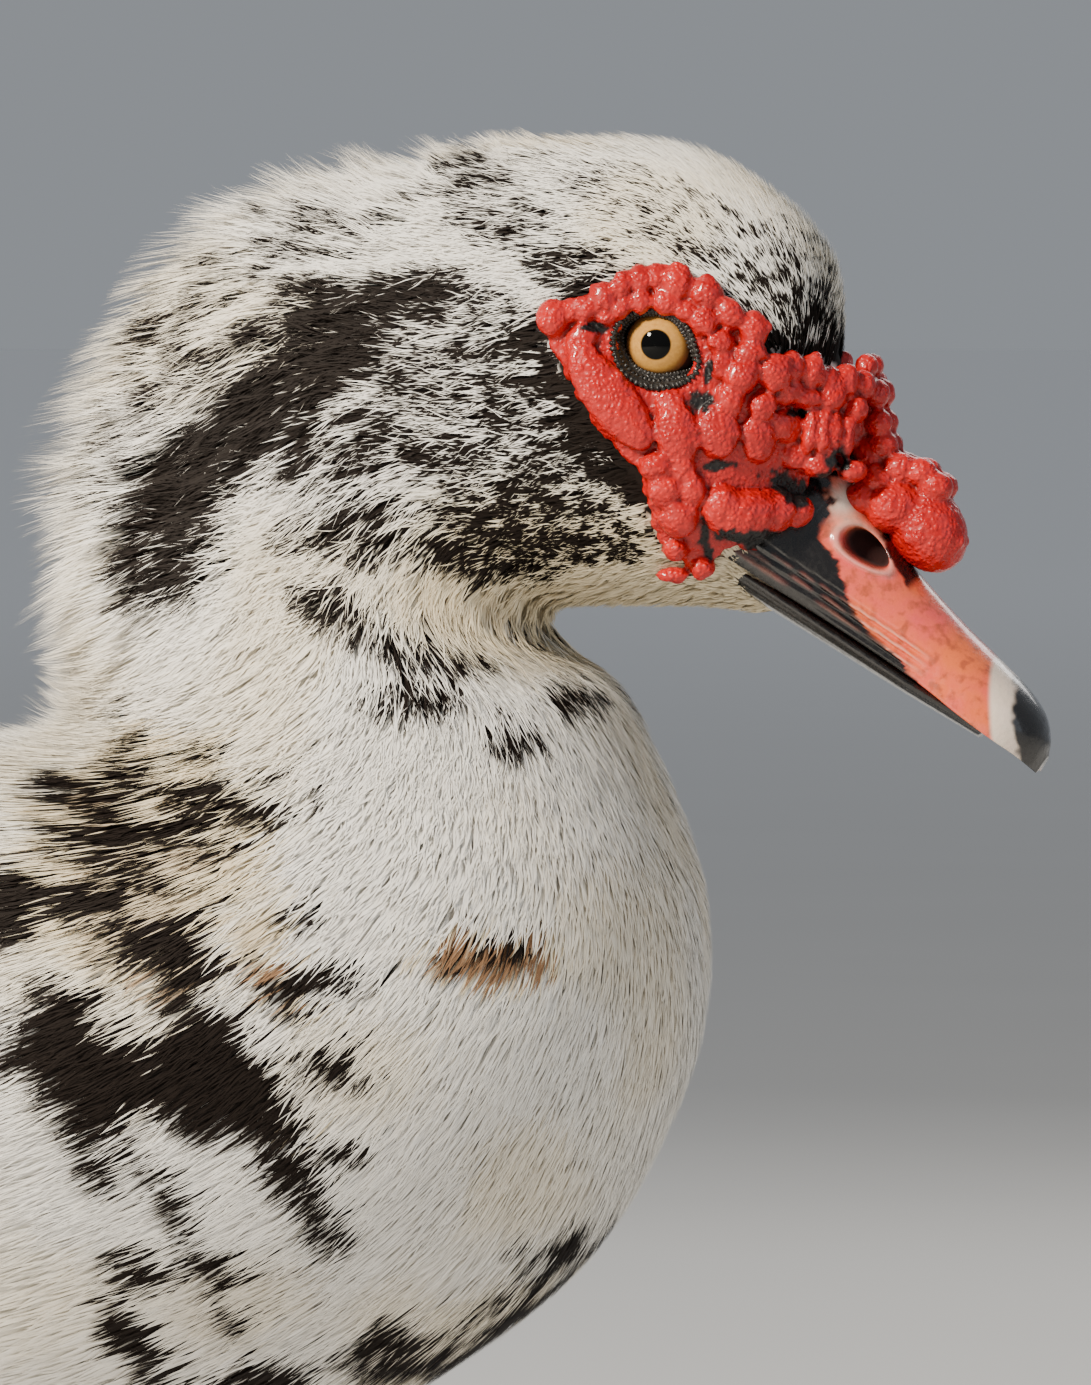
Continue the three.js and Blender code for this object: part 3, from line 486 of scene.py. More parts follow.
class Bench:
    """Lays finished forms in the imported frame."""

    def __init__(self) -> None:
        """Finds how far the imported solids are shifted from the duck's own frame."""
        low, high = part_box("eye_left")
        self.shift = np.array([(low.x + high.x) / 2 / MM - EYE_AT[0], 0.0, 0.0])

    def lay(
        self,
        name: str,
        form: Form,
        slot: Slot,
        material: bpy.types.Material,
        stands_for: tuple[str, ...] = (),
        smooth: bool = True,
    ) -> bpy.types.Object:
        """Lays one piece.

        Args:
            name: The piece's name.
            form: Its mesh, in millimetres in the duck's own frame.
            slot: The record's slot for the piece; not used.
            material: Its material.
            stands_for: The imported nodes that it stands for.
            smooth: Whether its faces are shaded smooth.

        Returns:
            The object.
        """
        mesh = mesh_of(name, form, MM, self.shift)
        mesh.polygons.foreach_set("use_smooth", np.full(len(mesh.polygons), smooth))
        mesh.materials.append(material)
        thing = linked(name, mesh)
        if stands_for:
            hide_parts(*stands_for)
        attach(thing, "root")
        triangles = sum(len(rows) * (rows.shape[1] - 2) for rows in form.faces)
        log.info("%s: %d triangles", name, triangles)
        return thing


# Shader nodes

Tree = bpy.types.NodeTree
Socket = bpy.types.NodeSocket
Colour = tuple[float, float, float, float]
WOBBLE = 0.0012


def rgb(red: float, green: float, blue: float) -> Colour:
    """A solid colour."""
    return (red, green, blue, 1.0)


def put(tree: Tree, kind: str, given: dict | None = None, **choices: object) -> bpy.types.Node:
    """Places a shader node.

    Args:
        tree: Where it goes.
        kind: Its kind, without the leading ShaderNode.
        given: A value or a socket for each named or numbered input.
        **choices: The node's own settings.

    Returns:
        The node.
    """
    node = tree.nodes.new("ShaderNode" + kind)
    for choice, value in choices.items():
        setattr(node, choice, value)
    for key, value in (given or {}).items():
        if isinstance(value, bpy.types.NodeSocket):
            tree.links.new(value, node.inputs[key])
        else:
            node.inputs[key].default_value = value
    return node


def maths(tree: Tree, operation: str, first: object, second: object = 0.0) -> Socket:
    """The result of a sum on two values."""
    return put(tree, "Math", {0: first, 1: second}, operation=operation).outputs[0]


def mixed(tree: Tree, factor: object, first: object, second: object, blend: str = "MIX") -> Socket:
    """A mix of two colours."""
    given = {0: factor, 6: first, 7: second}
    return put(tree, "Mix", given, data_type="RGBA", blend_type=blend).outputs[2]


def ranged(tree: Tree, value: object, start: tuple, end: tuple = (0.0, 1.0)) -> Socket:
    """A value mapped softly from one range, given as low and high, to another."""
    given = {0: value, 1: start[0], 2: start[1], 3: end[0], 4: end[1]}
    return put(tree, "MapRange", given, interpolation_type="SMOOTHSTEP").outputs[0]


def mask(tree: Tree, name: str) -> Socket:
    """A mask that the mesh carries."""
    return put(tree, "Attribute", attribute_name=name).outputs["Fac"]


def place_of(tree: Tree) -> Socket:
    """The place on the object, in metres."""
    return put(tree, "TexCoord").outputs["Object"]


def new_group(name: str, inputs: dict[str, object], outputs: dict[str, str]) -> tuple:
    """Starts a node group.

    Args:
        name: The group's name.
        inputs: Each input's name and default, a number or a colour, or None for a vector.
        outputs: Each output's name and kind of socket.

    Returns:
        The tree, its inputs by name and its output node.
    """
    tree = bpy.data.node_groups.new(name, "ShaderNodeTree")
    for label, default in inputs.items():
        kind = "Vector" if default is None else "Color" if isinstance(default, tuple) else "Float"
        socket = tree.interface.new_socket(label, in_out="INPUT", socket_type="NodeSocket" + kind)
        if default is not None:
            socket.default_value = default
    for label, kind in outputs.items():
        tree.interface.new_socket(label, in_out="OUTPUT", socket_type="NodeSocket" + kind)
    source = tree.nodes.new("NodeGroupInput")
    sink = tree.nodes.new("NodeGroupOutput")
    return tree, source.outputs, sink


def plumage_group() -> Tree:
    """The colour of a feather: pale, warm or dark by its marks, with painted shade deeper towards its
    root.
    """
    inputs = {
        "Pale": rgb(0.8, 0.77, 0.7),
        "Cream": rgb(0.8, 0.7, 0.5),
        "Dark": rgb(0.02, 0.016, 0.013),
        "Warm": rgb(0.4, 0.25, 0.15),
        "Mark": 0.0,
        "Warmth": 0.0,
        "Share": 1.0,
        "Vary": 0.5,
    }
    tree, given, sink = new_group("Plumage", inputs, {"Color": "Color"})
    cream = mixed(tree, ranged(tree, given["Warmth"], (0.0, 0.4)), given["Pale"], given["Cream"])
    warm = mixed(tree, ranged(tree, given["Warmth"], (0.4, 1.0)), cream, given["Warm"])
    marked = mixed(tree, ranged(tree, given["Mark"], (0.34, 0.7)), warm, given["Dark"])
    # painted shade: strands and vanes darken towards their roots, where the feathers over them would
    # shade them; Vary adds tone that differs at random
    root = ranged(tree, given["Share"], (0.0, 0.6), (0.86, 1.0))
    vary = ranged(tree, given["Vary"], (0.0, 1.0), (0.9, 1.05))
    light = maths(tree, "MULTIPLY", root, vary)
    root_shade_and_tone = put(tree, "CombineColor", {0: light, 1: light, 2: light}).outputs[0]
    out = mixed(tree, 1.0, marked, root_shade_and_tone, "MULTIPLY")
    tree.links.new(out, sink.inputs["Color"])
    return tree


def pebble_group() -> Tree:
    """Small round bumps in two sizes, and where they are deep."""
    inputs = {"Place": None, "Size": 0.001, "Fine": 0.35}
    tree, given, sink = new_group("Pebbles", inputs, {"Height": "Float", "Deep": "Float"})
    scale = maths(tree, "DIVIDE", 1.0, given["Size"])
    wobble = put(tree, "TexNoise", {"Vector": given["Place"], "Scale": 400.0, "Detail": 2.0})
    wobble = {0: wobble.outputs["Color"], 1: (WOBBLE, WOBBLE, WOBBLE)}
    bent = put(tree, "VectorMath", wobble, operation="MULTIPLY")
    moved = put(tree, "VectorMath", {0: given["Place"], 1: bent.outputs[0]}, operation="ADD")
    cells = {"Vector": moved.outputs[0], "Scale": scale, "Smoothness": 0.4}
    cells = put(tree, "TexVoronoi", cells, feature="SMOOTH_F1")
    high = ranged(tree, cells.outputs["Distance"], (0.0, 0.75), (1.0, 0.0))
    fine = put(tree, "TexNoise", {"Vector": given["Place"], "Scale": 2600.0, "Detail": 3.0})
    part = maths(tree, "MULTIPLY", fine.outputs["Fac"], given["Fine"])
    tree.links.new(maths(tree, "ADD", high, part), sink.inputs["Height"])
    tree.links.new(maths(tree, "SUBTRACT", 1.0, high), sink.inputs["Deep"])
    return tree


def blotch_group() -> Tree:
    """Soft uneven patches of two sizes."""
    inputs = {"Place": None, "Scale": 60.0, "Low": 0.4, "High": 0.6}
    tree, given, sink = new_group("Blotches", inputs, {"Mask": "Float"})
    cloud = put(tree, "TexNoise", {"Vector": given["Place"], "Scale": given["Scale"], "Detail": 5.0})
    edge = put(tree, "MapRange", {0: cloud.outputs["Fac"], 1: given["Low"], 2: given["High"]})
    tree.links.new(edge.outputs[0], sink.inputs["Mask"])
    return tree


@dataclass
class Groups:
    """The node groups that materials share, each built once."""

    plumage: Tree = field(default_factory=plumage_group)
    pebbles: Tree = field(default_factory=pebble_group)
    blotches: Tree = field(default_factory=blotch_group)

    def patchy(self, tree: Tree, place: Socket, scale: float, low: float, high: float) -> Socket:
        """Soft patches over a material, from none at the low level to full at the high one."""
        given = {"Place": place, "Scale": scale, "Low": low, "High": high}
        return put(tree, "Group", given, node_tree=self.blotches).outputs["Mask"]

    def pebbly(self, tree: Tree, place: Socket, size: float, fine: float) -> tuple[Socket, Socket]:
        """The height of pebbles of one size, in metres, and how deep each place lies between them."""
        given = {"Place": place, "Size": size, "Fine": fine}
        made = put(tree, "Group", given, node_tree=self.pebbles).outputs
        return made["Height"], made["Deep"]


def new_material(name: str, settings: dict[str, object]) -> tuple:
    """Starts a material.

    Args:
        name: The material's name.
        settings: Fixed values of the shader's own sockets.

    Returns:
        The material, its tree and its shader.
    """
    material = bpy.data.materials.new(name)
    material.use_nodes = True
    tree = material.node_tree
    shader = tree.nodes["Principled BSDF"]
    for key, value in settings.items():
        shader.inputs[key].default_value = value
    return material, tree, shader


def wired(tree: Tree, shader: bpy.types.Node, given: dict[str, Socket]) -> None:
    """Links sockets to the shader's own by name."""
    for key, socket in given.items():
        tree.links.new(socket, shader.inputs[key])


def bumped(tree: Tree, height: Socket, strength: float, distance: float) -> Socket:
    """A normal bumped by a height, where distance is the height's reach in metres."""
    given = {"Height": height, "Strength": strength, "Distance": distance}
    return put(tree, "Bump", given).outputs["Normal"]


# Finishes

PLUMAGE_MASKS = ("mark", "warmth", "share", "vary")


@dataclass(frozen=True)
class PlumageFinish:
    """Feathers, coloured by the marks that they carry."""

    name: str
    pale: Colour
    dark: Colour
    warm: Colour
    cream: Colour = rgb(0.78, 0.68, 0.48)
    roughness: float = 0.62
    gloss: float = 0.25
    dark_smoother: float = 0.2

    def material(self, groups: Groups) -> bpy.types.Material:
        """Builds the material."""
        made, tree, shader = new_material(self.name, {"Specular IOR Level": self.gloss})
        given = {"Pale": self.pale, "Cream": self.cream, "Dark": self.dark, "Warm": self.warm}
        for name in PLUMAGE_MASKS:
            given[name.title()] = mask(tree, name)
        plumage = put(tree, "Group", given, node_tree=groups.plumage)
        smoothest = self.roughness - self.dark_smoother
        rough = ranged(tree, given["Mark"], (0.0, 1.0), (self.roughness, smoothest))
        wired(tree, shader, {"Base Color": plumage.outputs["Color"], "Roughness": rough})
        return made


@dataclass(frozen=True)
class CaruncleFinish:
    """Bare red skin of the face, pebbled and glossy, black in some creases, with painted shade in its
    creases and between its pebbles.
    """

    name: str = "red_skin"
    red: Colour = rgb(0.46, 0.001, 0.001)
    light: Colour = rgb(0.64, 0.008, 0.005)
    # painted shade: the dark red laid between the pebbles and into the creases
    deep: Colour = rgb(0.13, 0.0, 0.0)
    black: Colour = rgb(0.006, 0.005, 0.005)

    def material(self, groups: Groups) -> bpy.types.Material:
        """Builds the material."""
        made, tree, shader = new_material(self.name, {"Specular IOR Level": 0.35, "Coat Roughness": 0.1})
        place, crease, black = place_of(tree), mask(tree, "crease"), mask(tree, "black")
        height, deep = groups.pebbly(tree, place, size=0.0009, fine=0.2)
        patches = groups.patchy(tree, place, scale=130.0, low=0.35, high=0.7)
        base = mixed(tree, patches, self.red, self.light)
        # painted shade: the red is darkened toward deep between the pebbles and in the creases
        base = mixed(tree, maths(tree, "MULTIPLY", deep, 0.35), base, self.deep)
        base = mixed(tree, crease, base, self.deep)
        rough = ranged(tree, deep, (0.0, 1.0), (0.24, 0.5))
        dull = maths(tree, "MULTIPLY", black, 0.45)
        sunk = maths(tree, "MAXIMUM", crease, black)
        given = {
            "Base Color": mixed(tree, black, base, self.black),
            "Roughness": maths(tree, "MAXIMUM", rough, dull),
            "Coat Weight": ranged(tree, sunk, (0.0, 1.0), (0.4, 0.05)),
            "Normal": bumped(tree, height, strength=0.6, distance=0.0004),
        }
        wired(tree, shader, given)
        return made


@dataclass(frozen=True)
class BillFinish:
    """Glossy horn, orange and rose in front, black at the base and pale at the nail."""

    name: str = "bill_horn"
    rose: Colour = rgb(0.7, 0.08, 0.07)
    orange: Colour = rgb(0.7, 0.13, 0.035)
    speck: Colour = rgb(0.3, 0.06, 0.025)
    pale: Colour = rgb(0.74, 0.66, 0.55)
    black: Colour = rgb(0.006, 0.005, 0.005)
    # painted shade: inside is the near black of the nostrils' openings
    inside: Colour = rgb(0.02, 0.002, 0.001)

    def material(self, groups: Groups) -> bpy.types.Material:
        """Builds the material."""
        settings = {"Specular IOR Level": 0.5, "Coat Roughness": 0.1}
        made, tree, shader = new_material(self.name, settings)
        place, hole = place_of(tree), mask(tree, "hole")
        patches = groups.patchy(tree, place, scale=110.0, low=0.35, high=0.65)
        specks = groups.patchy(tree, place, scale=480.0, low=0.5, high=0.66)
        base = mixed(tree, patches, self.rose, self.orange)
        base = mixed(tree, maths(tree, "MULTIPLY", specks, 0.75), base, self.speck)
        base = mixed(tree, mask(tree, "pale"), base, self.pale)
        base = mixed(tree, mask(tree, "black"), base, self.black)
        grain = put(tree, "TexNoise", {"Vector": place, "Scale": 900.0, "Detail": 4.0}).outputs["Fac"]
        rough = ranged(tree, grain, (0.3, 0.7), (0.16, 0.36))
        gloss = ranged(tree, grain, (0.0, 1.0), (0.7, 0.35))
        outside = ranged(tree, hole, (0.0, 1.0), (1.0, 0.0))
        # painted shade: the hole mask turns the nostrils to inside
        given = {
            "Base Color": mixed(tree, hole, base, self.inside),
            "Roughness": maths(tree, "MAXIMUM", rough, hole),
            "Coat Weight": maths(tree, "MULTIPLY", gloss, outside),
            "Normal": bumped(tree, grain, strength=0.35, distance=0.00025),
        }
        wired(tree, shader, given)
        return made


@dataclass(frozen=True)
class EyeFinish:
    """An amber iris round a black pupil, under a clear front."""

    name: str = "eye_glass"
    pupil: float = 2.7
    iris: float = 5.7

    def material(self, groups: Groups) -> bpy.types.Material:
        """Builds the material."""
        settings = {"Roughness": 0.04, "Specular IOR Level": 0.12}
        made, tree, shader = new_material(self.name, settings)
        radius = mask(tree, "radius")
        place = place_of(tree)
        streaks = put(tree, "TexNoise", {"Vector": place, "Scale": 1500.0, "Detail": 3.0})
        amber = mixed(tree, streaks.outputs["Fac"], rgb(0.36, 0.16, 0.03), rgb(0.64, 0.34, 0.08))
        outer = ranged(tree, radius, (self.iris * 0.72, self.iris))
        iris = mixed(tree, outer, amber, rgb(0.16, 0.06, 0.02))
        white = ranged(tree, radius, (self.iris, self.iris + 0.3))
        iris = mixed(tree, white, iris, rgb(0.02, 0.015, 0.012))
        hole = ranged(tree, radius, (self.pupil - 0.15, self.pupil + 0.2), (1.0, 0.0))
        wired(tree, shader, {"Base Color": mixed(tree, hole, iris, rgb(0.002, 0.002, 0.002))})
        return made


@dataclass(frozen=True)
class ScaleFinish:
    """Skin or horn with small scales: legs, webs, lids and claws."""

    name: str
    main: Colour
    other: Colour
    size: float
    roughness: float = 0.5
    relief: float = 0.4

    def material(self, groups: Groups) -> bpy.types.Material:
        """Builds the material."""
        made, tree, shader = new_material(self.name, {"Specular IOR Level": 0.4})
        place = place_of(tree)
        height, deep = groups.pebbly(tree, place, self.size, fine=0.25)
        patches = groups.patchy(tree, place, scale=70.0, low=0.4, high=0.6)
        base = mixed(tree, patches, self.main, self.other)
        # painted shade: the grooves between the scales are mixed half way toward a near black
        edge = maths(tree, "MULTIPLY", deep, 0.5)
        given = {
            "Base Color": mixed(tree, edge, base, rgb(0.02, 0.017, 0.013)),
            "Roughness": ranged(tree, deep, (0.0, 1.0), (self.roughness, self.roughness + 0.2)),
            "Normal": bumped(tree, height, self.relief, distance=0.0003),
        }
        wired(tree, shader, given)
        return made


def plain_masks(size: int, *values: float) -> dict[str, Array]:
    """The masks of plumage that is the same at each of its points, in the order of their names."""
    return {name: np.full(size, value) for name, value in zip(PLUMAGE_MASKS, values)}


# Markings that the skin and the feathers share


@dataclass(frozen=True)
class Oval:
    """An oval in a flat view, by its middle, its half sizes and how far it is turned."""

    x: float
    z: float
    long: float
    wide: float
    turn: float

    def local(self, x: Array, z: Array) -> Pair:
        """Places along and across the oval, as shares of its half sizes."""
        turn = math.radians(self.turn)
        dx, dz = x - self.x, z - self.z
        along = (dx * math.cos(turn) + dz * math.sin(turn)) / self.long
        across = (dz * math.cos(turn) - dx * math.sin(turn)) / self.wide
        return along, across

    def reach(self, x: Array, z: Array) -> Array:
        """How far places lie from the oval's middle, 1 at its edge."""
        return np.hypot(*self.local(x, z))


@dataclass(frozen=True)
class Patch(Oval):
    """An oval patch of the plumage in the side view, dark or warm."""

    dark: float
    warm: float = 0.0


OTHER_SIDE = 40.0  # how far off the noise of the left side is read
PATCH_ROWS = (  # placed one by one, each with the fields of a patch
    # forehead, crown and the shoulder's grey
    (245, 316, 17, 9, -62, 0.5), (252, 308.7, 8, 2.4, -70, 0.8), (228, 329, 15, 8, -25, 0.36),
    (205, 336, 26, 7, -8, 0.3), (135, 213, 24, 20, -45, 0.42, 0.5),
    # nape
    (143, 312, 30, 13, 50, 0.5), (126, 286, 20, 9, 78, 0.5), (188.7, 333.4, 15, 8, -22, 0.6),
    (204.5, 322.5, 13, 6, -20, 0.5), (173.7, 316.1, 16, 6, 8, 1.02), (161, 304.4, 16, 9.5, 38, 1.06),
    (148.8, 294.1, 14, 10, 50, 1.08), (138.2, 285.5, 13, 10, 60, 1.08), (131.8, 271, 12, 9, 60, 1.0),
    (163.5, 287.4, 17, 8, 20, 0.8),
    # cheek and side of the neck
    (188.7, 296.9, 24, 21, 0, 0.6), (214, 290.5, 17, 6.5, -62, 0.97), (204.8, 275.2, 14, 9, -20, 0.66),
    (179.3, 271, 29, 8, -5, 0.6), (155.4, 324.2, 17, 7, 20, 0.52), (166, 255.8, 14, 4, -30, 0.5),
    (183.9, 248.3, 11, 2.6, 0, 0.65), (181.4, 240.9, 9.5, 3.2, 2, 0.97),
    (190.9, 247.5, 5.5, 2.2, 0, 0.7), (207.7, 241.2, 4.8, 3.2, -25, 0.95),
    (198.9, 233.9, 4.6, 2.8, 10, 0.7),
    # shoulder
    (122.9, 238.8, 2.4, 1.7, 70, 0.68, 0.1), (126.8, 234.4, 3.2, 2.5, 60, 0.48, 0.4),
    (141.9, 222.3, 9.3, 2.2, -38, 0.98, 0.25), (157, 220.7, 2.4, 2, 0, 0.78, 0.3),
    (163.5, 223.5, 2.8, 1.5, 70, 0.63), (157.2, 228.3, 2.4, 1.5, 60, 0.58),
    (116.2, 226.6, 5.3, 3.2, -30, 1.03, 0.1), (124.7, 222, 7.2, 3.9, -75, 0.68, 0.7),
    (126.1, 214.2, 4.4, 3, -60, 1.03, 0.5), (132.1, 216.4, 6.9, 3.9, -70, 0.58, 0.65),
    (144.2, 214, 4.9, 2.2, -30, 0.53, 0.7), (125, 206.2, 5.5, 3.9, -10, 1.08),
    (138.1, 197.9, 7.2, 3.4, -52, 1.08, 0.1), (145, 190, 7.2, 3.9, -50, 1.08, 0.15),
    (152.1, 181.3, 8.4, 4.8, -52, 1.1), (158.5, 170.2, 9.6, 5.9, -58, 1.1),
    (164.5, 156.3, 8.8, 4.4, -62, 1.1), (168.5, 146.1, 5.3, 3, -62, 0.98, 0.2),
    (142.7, 202, 4, 3, -40, 0.83, 0.1), (149.6, 205.7, 3.7, 1.5, -70, 0.68, 0.3),
    (148.7, 195.5, 6.5, 3, -45, 0.83, 0.5), (157.5, 198.8, 5.3, 4.3, -50, 0.38, 0.55),
    (162.1, 190.5, 7.2, 3.4, -50, 0.48, 0.95), (164.2, 202.9, 2.4, 1.7, 0, 0.78),
    (170, 192, 7.2, 2, -3, 0.63), (140.3, 189.6, 2.8, 2.2, -45, 0.48, 0.8),
    (112, 205.3, 6.3, 8.3, 0, 1.08), (117.5, 208.1, 3.2, 4.3, 0, 0.53, 0.5),
    (121.3, 190, 4, 2, -20, 1.03), (128, 185.9, 5, 2.7, -65, 1.08),
    (122.7, 180.3, 7.2, 6.4, -40, 1.08, 0.1), (129.5, 172.9, 10.4, 9.8, -50, 1.1),
    (130.9, 158.1, 6.3, 2.9, -62, 1.1), (142.2, 153.5, 9.6, 2.5, -66, 1.08),
    (147.5, 171.1, 12.5, 8.3, -45, 1.1), (114.7, 175.7, 3.7, 3, -20, 0.98),
    (171.4, 175.4, 5.6, 3.4, -20, 0.83), (165.6, 164.8, 3.2, 2.2, -30, 0.68, 0.6),
    (172.3, 160.6, 4.9, 2.2, 10, 0.88, 0.2), (149.5, 140.2, 4.9, 3, -20, 0.93),
    (150.4, 131.3, 5.3, 2.2, -70, 0.73, 0.4), (136.6, 138.7, 5.6, 3.9, -10, 0.93),
    (134.7, 124.8, 11.8, 3.9, -75, 1.1, 0.1), (131.2, 126.3, 4.9, 2, -60, 0.88),
    # lower breast
    (189.9, 127.1, 17, 6.5, 22, 0.57, 0.2), (202.7, 138.2, 9, 5, 35, 0.5),
    (178.8, 121.6, 12, 8, 10, 0.6),
    # the breast's brown spot and the shoulder's brown
    (198.8, 194.7, 11, 4, -3, 0.34, 1.0), (135, 206, 21, 12, -50, 0.3, 0.62),
    (128, 222, 13, 8, -40, 0.4, 0.55),
)  # fmt: skip
PATCHES = [Patch(*row) for row in PATCH_ROWS]


def markings(points: Array, t: Array, phi: Array) -> Pair:
    """Reads where the plumage is dark or warm.

    Args:
        points: Places on the body.
        t: Their stations.
        phi: Their angles.

    Returns:
        How dark and how warm each is, from 0 to 1.
    """
    x, y, z = points.T
    side = np.where(y > 0, OTHER_SIDE, 0.0)
    spot = points + np.stack([side, np.zeros(len(x)), side], axis=1)
    wobble = noise(spot, 9.0, Field.EDGE) - 0.5
    dark, warm = np.zeros(len(x)), np.zeros(len(x))
    for patch in PATCHES:
        reach = 1 - smooth_step(0.7, 1.25, patch.reach(x, z) + wobble * 0.5)
        dark = np.maximum(dark, reach * patch.dark)
        warm = np.maximum(warm, reach * patch.warm)
    turned = turned_from_back(phi)
    saddle = smooth_step(7.0, 8.2, t) * smooth_step(1.25, 0.85, turned)
    blots = smooth_step(0.5, 0.62, noise(spot, (34.0, 26.0, 26.0), Field.SADDLE))
    dark = np.maximum(dark, saddle * (0.95 - 0.6 * blots))
    flank = smooth_step(8.8, 9.8, t) * smooth_step(0.62, 0.72, noise(spot, 24.0, Field.FLANK))
    dark = np.maximum(dark, flank * 0.85)
    rump = smooth_step(12.3, 13.2, t) * smooth_step(2.3, 1.4, turned)
    dark = np.maximum(dark, rump * 0.9)
    throat = smooth_step(1.5, 2.4, turned) * (1 - smooth_step(5.0, 6.2, t))
    warm = np.maximum(warm, 0.42 * throat)
    clouds = 0.05 + 0.14 * smooth_step(0.35, 0.75, noise(spot, 22.0, Field.CLOUD))
    warm = np.maximum(warm, clouds * (1 - smooth_step(9.5, 11, t)))
    return np.clip(dark, 0, 1.2), np.clip(warm, 0, 1)


# Skin and coat

COAT_DEPTH = [(0, 0), (1, 1), (2.6, 2.4), (3.6, 6), (4.6, 8), (5.6, 6), (6.6, 2), (7.2, 0), (14, 0)]
SKIN_DEPTH = [(0, 1.0), (1, 1.4), (3, 2.0), (6, 2.4), (8, 3.0), (14, 3.0)]
SEEN_AT = 0.8  # where along a feather its colour is read
END_ROOM = 0.03  # how far short of a body's last station its coat ends
MAP_PATCH = 0.003  # the size of a strand's patch on the map
BACKWARD = np.array([-0.98, 0.0, -0.2])
DOWNWARD = np.array([-0.3, 0.0, -0.95])


@dataclass(frozen=True)
class WingShape:
    """The folded wing's place on the body."""

    front: float = 8.0
    core_end: float = 0.74
    thick: float = 3.2
    roll: float = math.radians(-6)
    top: tuple = ((0, 62), (0.12, 42), (0.4, 24), (0.7, 20), (0.9, 22), (1, 32))
    low: tuple = ((0, 84), (0.12, 102), (0.4, 108), (0.7, 100), (0.9, 84), (1, 66))


WING = WingShape()


def wing_edges(share: Array) -> Pair:
    """The angles of the folded wing's upper and lower edges at a share of its length."""
    return tuple(np.radians(between(edge, share)) for edge in (WING.top, WING.low))


def wing_spot(share: Array, down: Array) -> Pair:
    """The station and angle at a share of the wing's length and a share down from its upper edge."""
    t = WING.front + (TAIL_ROOT - WING.front) * share
    top, low = wing_edges(np.clip(share, 0, 1))
    return t, top + (low - top) * down


def wing_swell(t: Array, phi: Array) -> Array:
    """How far the coat rises to meet the folded wing's front."""
    share = np.clip((t - WING.front) / (TAIL_ROOT - WING.front), 0, 1)
    top, low = wing_edges(share)
    turned = turned_from_back(phi)
    within = smooth_step(top - 0.3, top + 0.15, turned) * smooth_step(low + 0.3, low - 0.15, turned)
    return 6.0 * smooth_step(7.4, 9.0, t) * within * (1 - smooth_step(9.6, 10.6, t))


class TrunkLie:
    """How the coat lies on the trunk."""

    back_length = [
        (0, 6), (1, 7), (2, 9), (3, 13), (3.6, 17), (4.5, 23), (5.5, 22), (6.4, 17), (8, 20), (14, 27),
    ]  # fmt: skip
    front_length = [(0, 3), (2, 4), (3.6, 6), (5, 8), (6.4, 12), (8, 16), (10, 20), (14, 24)]
    back_lift = [
        (0, 0.2), (2, 0.6), (3, 1.2), (3.8, 2.4), (4.8, 3.5), (5.6, 3), (6.4, 1.0), (7.5, 0.4),
        (14, 0.2),
    ]  # fmt: skip
    front_lift = [(0, 0.1), (4, 0.3), (6.4, 0.2), (14, 0.2)]
    downward = [(0, 0), (5.4, 0), (6.4, 0.5), (7.4, 0.75), (8.6, 0.6), (10, 0.15), (11, 0), (14, 0)]
    backward = [
        (0, 0), (1.6, 0.15), (2.6, 0.6), (3.4, 0.92), (4.8, 0.92), (5.6, 0.55), (6.4, 0.1), (7, 0),
        (14, 0),
    ]  # fmt: skip

    def length(self, t: Array, phi: Array) -> Array:
        """The length of the feathers."""
        back = (1 + np.cos(phi)) / 2
        return between(self.back_length, t) * back + between(self.front_length, t) * (1 - back)

    def lift(self, t: Array, phi: Array) -> Array:
        """How far the feathers' tips stand off the surface."""
        back = (1 + np.cos(phi)) / 2
        return between(self.back_lift, t) * back**1.5 + between(self.front_lift, t) * (1 - back)

    def depth(self, t: Array, phi: Array) -> Array:
        """How deep the skin lies under the coat's surface."""
        deep = between(COAT_DEPTH, t) * np.maximum(0, np.cos(phi)) ** 0.7
        return between(SKIN_DEPTH, t) + deep

    def swell(self, t: Array, phi: Array) -> Array:
        """How far the coat rises over what it covers."""
        return wing_swell(t, phi)

    def blown(self, t: Array, phi: Array) -> Array:
        """How far the feathers point straight backward and not along the body."""
        return between(self.backward, t) * smooth_step(2.7, 1.3, turned_from_back(phi))

    def hanging(self, t: Array, phi: Array) -> Array:
        """How far the feathers hang straight down and not along the body."""
        side = np.sin(turned_from_back(phi))
        return between(self.downward, t) * np.maximum(0, side)

    def on_head(self, t: Array) -> Array:
        """How far the coat is that of the head and the nape."""
        return 1 - smooth_step(5.2, 6.4, t)

    def marks(self, points: Array, t: Array, phi: Array) -> Pair:
        """How dark and how warm the coat is."""
        return markings(points, t, phi)


class ThighLie(TrunkLie):
    """How the coat lies on a thigh, where it only follows the limb."""

    downward = backward = [(0, 0)]

    def length(self, t: Array, phi: Array) -> Array:
        """The length of the feathers."""
        return 15 - 1.3 * t

    def lift(self, t: Array, phi: Array) -> Array:
        """How far the feathers' tips stand off the surface."""
        return 0.8 + 0.5 * smooth_step(2.4, 3.8, t)

    def depth(self, t: Array, phi: Array) -> Array:
        """How deep the skin lies under the coat's surface."""
        return np.full(len(t), 1.5)

    def swell(self, t: Array, phi: Array) -> Array:
        """How far the coat rises over what it covers."""
        return np.zeros(len(t))

    def on_head(self, t: Array) -> Array:
        """How far the coat is that of the head and the nape."""
        return np.zeros(len(t))

    def marks(self, points: Array, t: Array, phi: Array) -> Pair:
        """How dark and how warm the coat is."""
        return 0.25 * noise(points, 9.0, Field.THIGH), np.full(len(t), 0.15)


